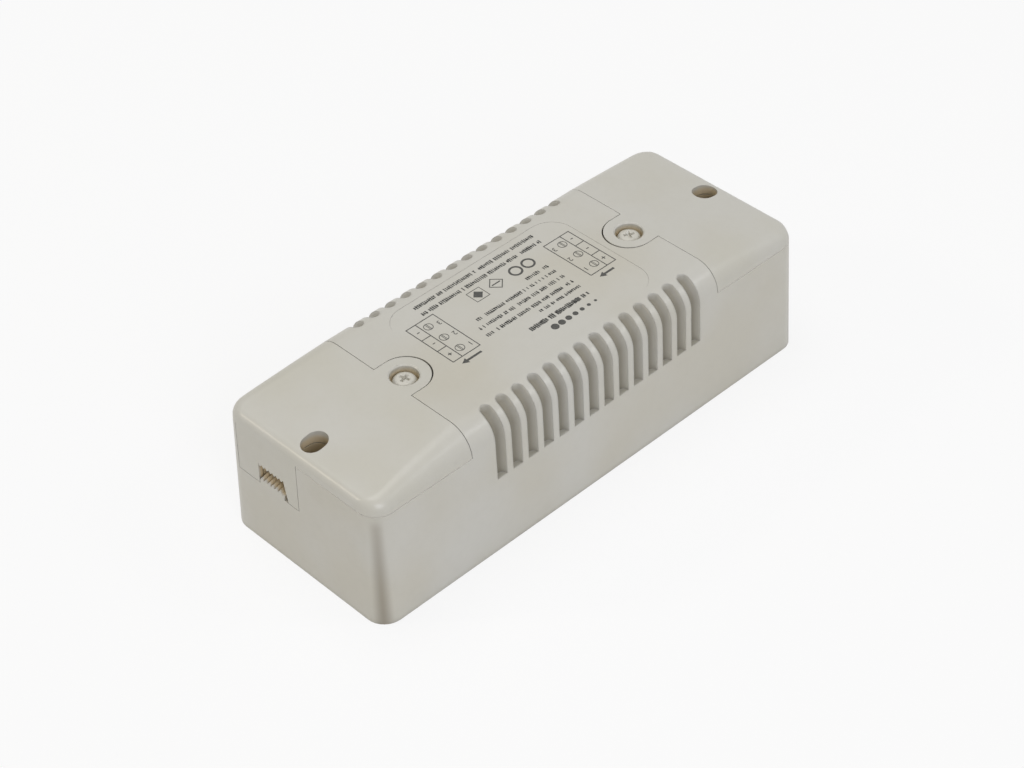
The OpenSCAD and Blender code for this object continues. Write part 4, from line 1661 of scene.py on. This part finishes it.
        return pattern.piece(pattern.join(*parts), self.ink.material(),
                             bpy.data.meshes.new("small_print_base"))

    def build(self) -> None:
        """Makes all print and joins it into two pieces."""
        finish_piece(self.small_marks(), Slot.PRINT)
        figures = linked("diagrams", mesh_of("diagrams", self.shapes))
        numbers = self.numbers()
        with editing(figures.data) as work:
            for number in numbers:
                work.from_mesh(number.data)
                bpy.data.objects.remove(number)
        figures.data.materials.append(self.ink.material())
        finish_piece(figures, Slot.PRINT)


@dataclass
class ChokeWinding:
    """Enamelled wire wound on the choke's core."""

    centre: Point = (6.4 * MM, -11.5 * MM)
    low: float = 9.5 * MM
    high: float = 14.7 * MM
    radius: float = 5.15 * MM
    wire: float = 0.5 * MM
    wire_sides: int = 8
    inner_share: float = 0.7
    steps: int = 44
    finish: Finish = Metal("enamelled_copper", srgb(196, 112, 58), srgb(150, 74, 34),
                           roughness=0.32)

    def build(self) -> None:
        """Winds the outer layer over a core that stands for the layers it hides."""
        pattern = Pattern("choke_wire")
        wire = pattern.size("Wire", self.wire)
        radius = pattern.size("Radius", self.radius)
        height = pattern.size("Height", self.high - self.low)
        turns = (self.high - self.low - self.wire) / self.wire
        middle = radius - wire / 2
        path = pattern.node("GeometryNodeCurveSpiral", {},
                            {"Resolution": self.steps, "Rotations": turns, "Start Radius": middle,
                             "End Radius": middle, "Height": height - wire})
        section = pattern.node("GeometryNodeCurvePrimitiveCircle", {"mode": "RADIUS"},
                               {"Resolution": self.wire_sides, "Radius": wire / 2})
        coil = pattern.node("GeometryNodeCurveToMesh", {},
                            {"Curve": path, "Profile Curve": section, "Fill Caps": True})
        inner = pattern.node("GeometryNodeMeshCylinder", {},
                             {"Vertices": self.steps, "Radius": radius - wire * self.inner_share,
                              "Depth": height}, "Mesh")
        wound = pattern.join(pattern.raised(coil, wire / 2), pattern.raised(inner, height / 2))
        placed = pattern.moved(wound, pattern.size("Seat", (*self.centre, self.low), "Vector"))
        made = pattern.piece(placed, self.finish.material(), bpy.data.meshes.new("choke_base"))
        for face in made.data.polygons:
            face.use_smooth = True
        finish_piece(made, Slot.COPPER, ["choke_winding"])


@dataclass
class DressedNodes:
    """Nodes whose shape is right and that only need a finish."""

    finishes: dict[str, Finish]

    def build(self) -> None:
        """Gives each node its finish."""
        ready: dict[str, bpy.types.Material] = {}
        for node, finish in self.finishes.items():
            if finish.name not in ready:
                ready[finish.name] = finish.material()
            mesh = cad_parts[node].data
            mesh.materials.clear()
            mesh.materials.append(ready[finish.name])
            log.info("%s: %s", node, finish.name)


def board_finishes() -> dict[str, Finish]:
    """Finishes of the label and of all parts inside.

    Returns:
        The finish of each node that keeps its shape.
    """
    steel = Metal("plated_steel")
    tinned = Metal("tinned_copper", srgb(212, 212, 208), srgb(178, 177, 170), roughness=0.36)
    brass = Metal("nickelled_brass", srgb(208, 190, 146), srgb(176, 154, 104), roughness=0.34)
    epoxy = Plastic("black_epoxy")
    green = Plastic("terminal_green", srgb(30, 106, 66), srgb(44, 124, 80), speck_scale=1500,
                    roughness=0.42, edge=0.2 * MM)
    terminals = {f"{side}_terminal_{part}": finish for side in ("output", "input")
                 for part, finish in (("block", green), ("cages", brass), ("screws", steel))}
    black = ("power_transistors", "regulator_chip", "controller_chip", "radio_chip",
             "protection_diode")
    return {
        "rating_label": Moulded("label_film", roughness=0.38, edge=0.02 * MM, holes=()),
        "circuit_board": Laminate("board_green"),
        "radio_board": Laminate("radio_blue", srgb(20, 46, 100), srgb(34, 66, 128),
                                low=8.1 * MM, high=8.9 * MM, pitch=1.27 * MM),
        "board_screws": steel,
        **terminals,
        **dict.fromkeys(black, epoxy),
        "transistor_tabs": tinned,
        "timing_crystal": Metal("crystal_can", srgb(216, 216, 214), srgb(196, 196, 192),
                                lines=(1, 1, 1), roughness=0.22),
        "antenna_wire": Metal("bare_copper", srgb(202, 128, 82), srgb(160, 90, 52)),
        "smoothing_capacitors": Sleeve("capacitor_sleeve"),
        "choke_core": Plastic("ferrite", srgb(52, 52, 54), srgb(82, 81, 80), speck_scale=3400,
                              grain_depth=0.03 * MM, roughness=0.62),
        "input_fuse": Plastic("fuse_case", srgb(124, 80, 44), srgb(150, 104, 64), speck_scale=1200,
                              roughness=0.36, edge=0.3 * MM),
        "chip_resistors": Chips("resistor_body"),
        "chip_capacitors": Chips("ceramic_body", srgb(158, 128, 92), rows=(15 * MM, -13 * MM),
                                 mirrored=False),
    }


def main() -> None:
    """Builds the camera, the studio and each sub-assembly in order."""
    PhotoCamera().place()
    Studio().build()
    shell = Moulded("ivory_housing", grooves=Grooves())
    cover = Moulded("ivory_cover", warm=srgb(197, 194, 181), patch_scale=40)
    plate = Moulded("ivory_plate", patch_scale=26, holes=(FIXING_SLOT,),
                    marks=((51 * MM, 13 * MM, 2.5 * MM), (22 * MM, 15 * MM, 2.5 * MM),
                           (0.0, 0.0, 1.6 * MM)))
    for node, finish in (("housing", shell), ("output_cover", cover), ("input_cover", cover),
                         ("base_plate", plate)):
        MouldedShell(node, finish).build()
    ScrewSet("cover_screw_set", "cover_screws", Lacquered("ivory_lacquer"), Slot.STEEL,
             seats=[(side * SCREW_WELL.at_x, 0, SCREW_SEAT) for side in (-1, 1)],
             head_d=5.4 * MM, head_h=1.8 * MM, shank_d=2.9 * MM, shank_l=10 * MM).build()
    PrintedPanel().build()
    ChokeWinding().build()
    DressedNodes(board_finishes()).build()


if __name__ == "__main__":
    main()
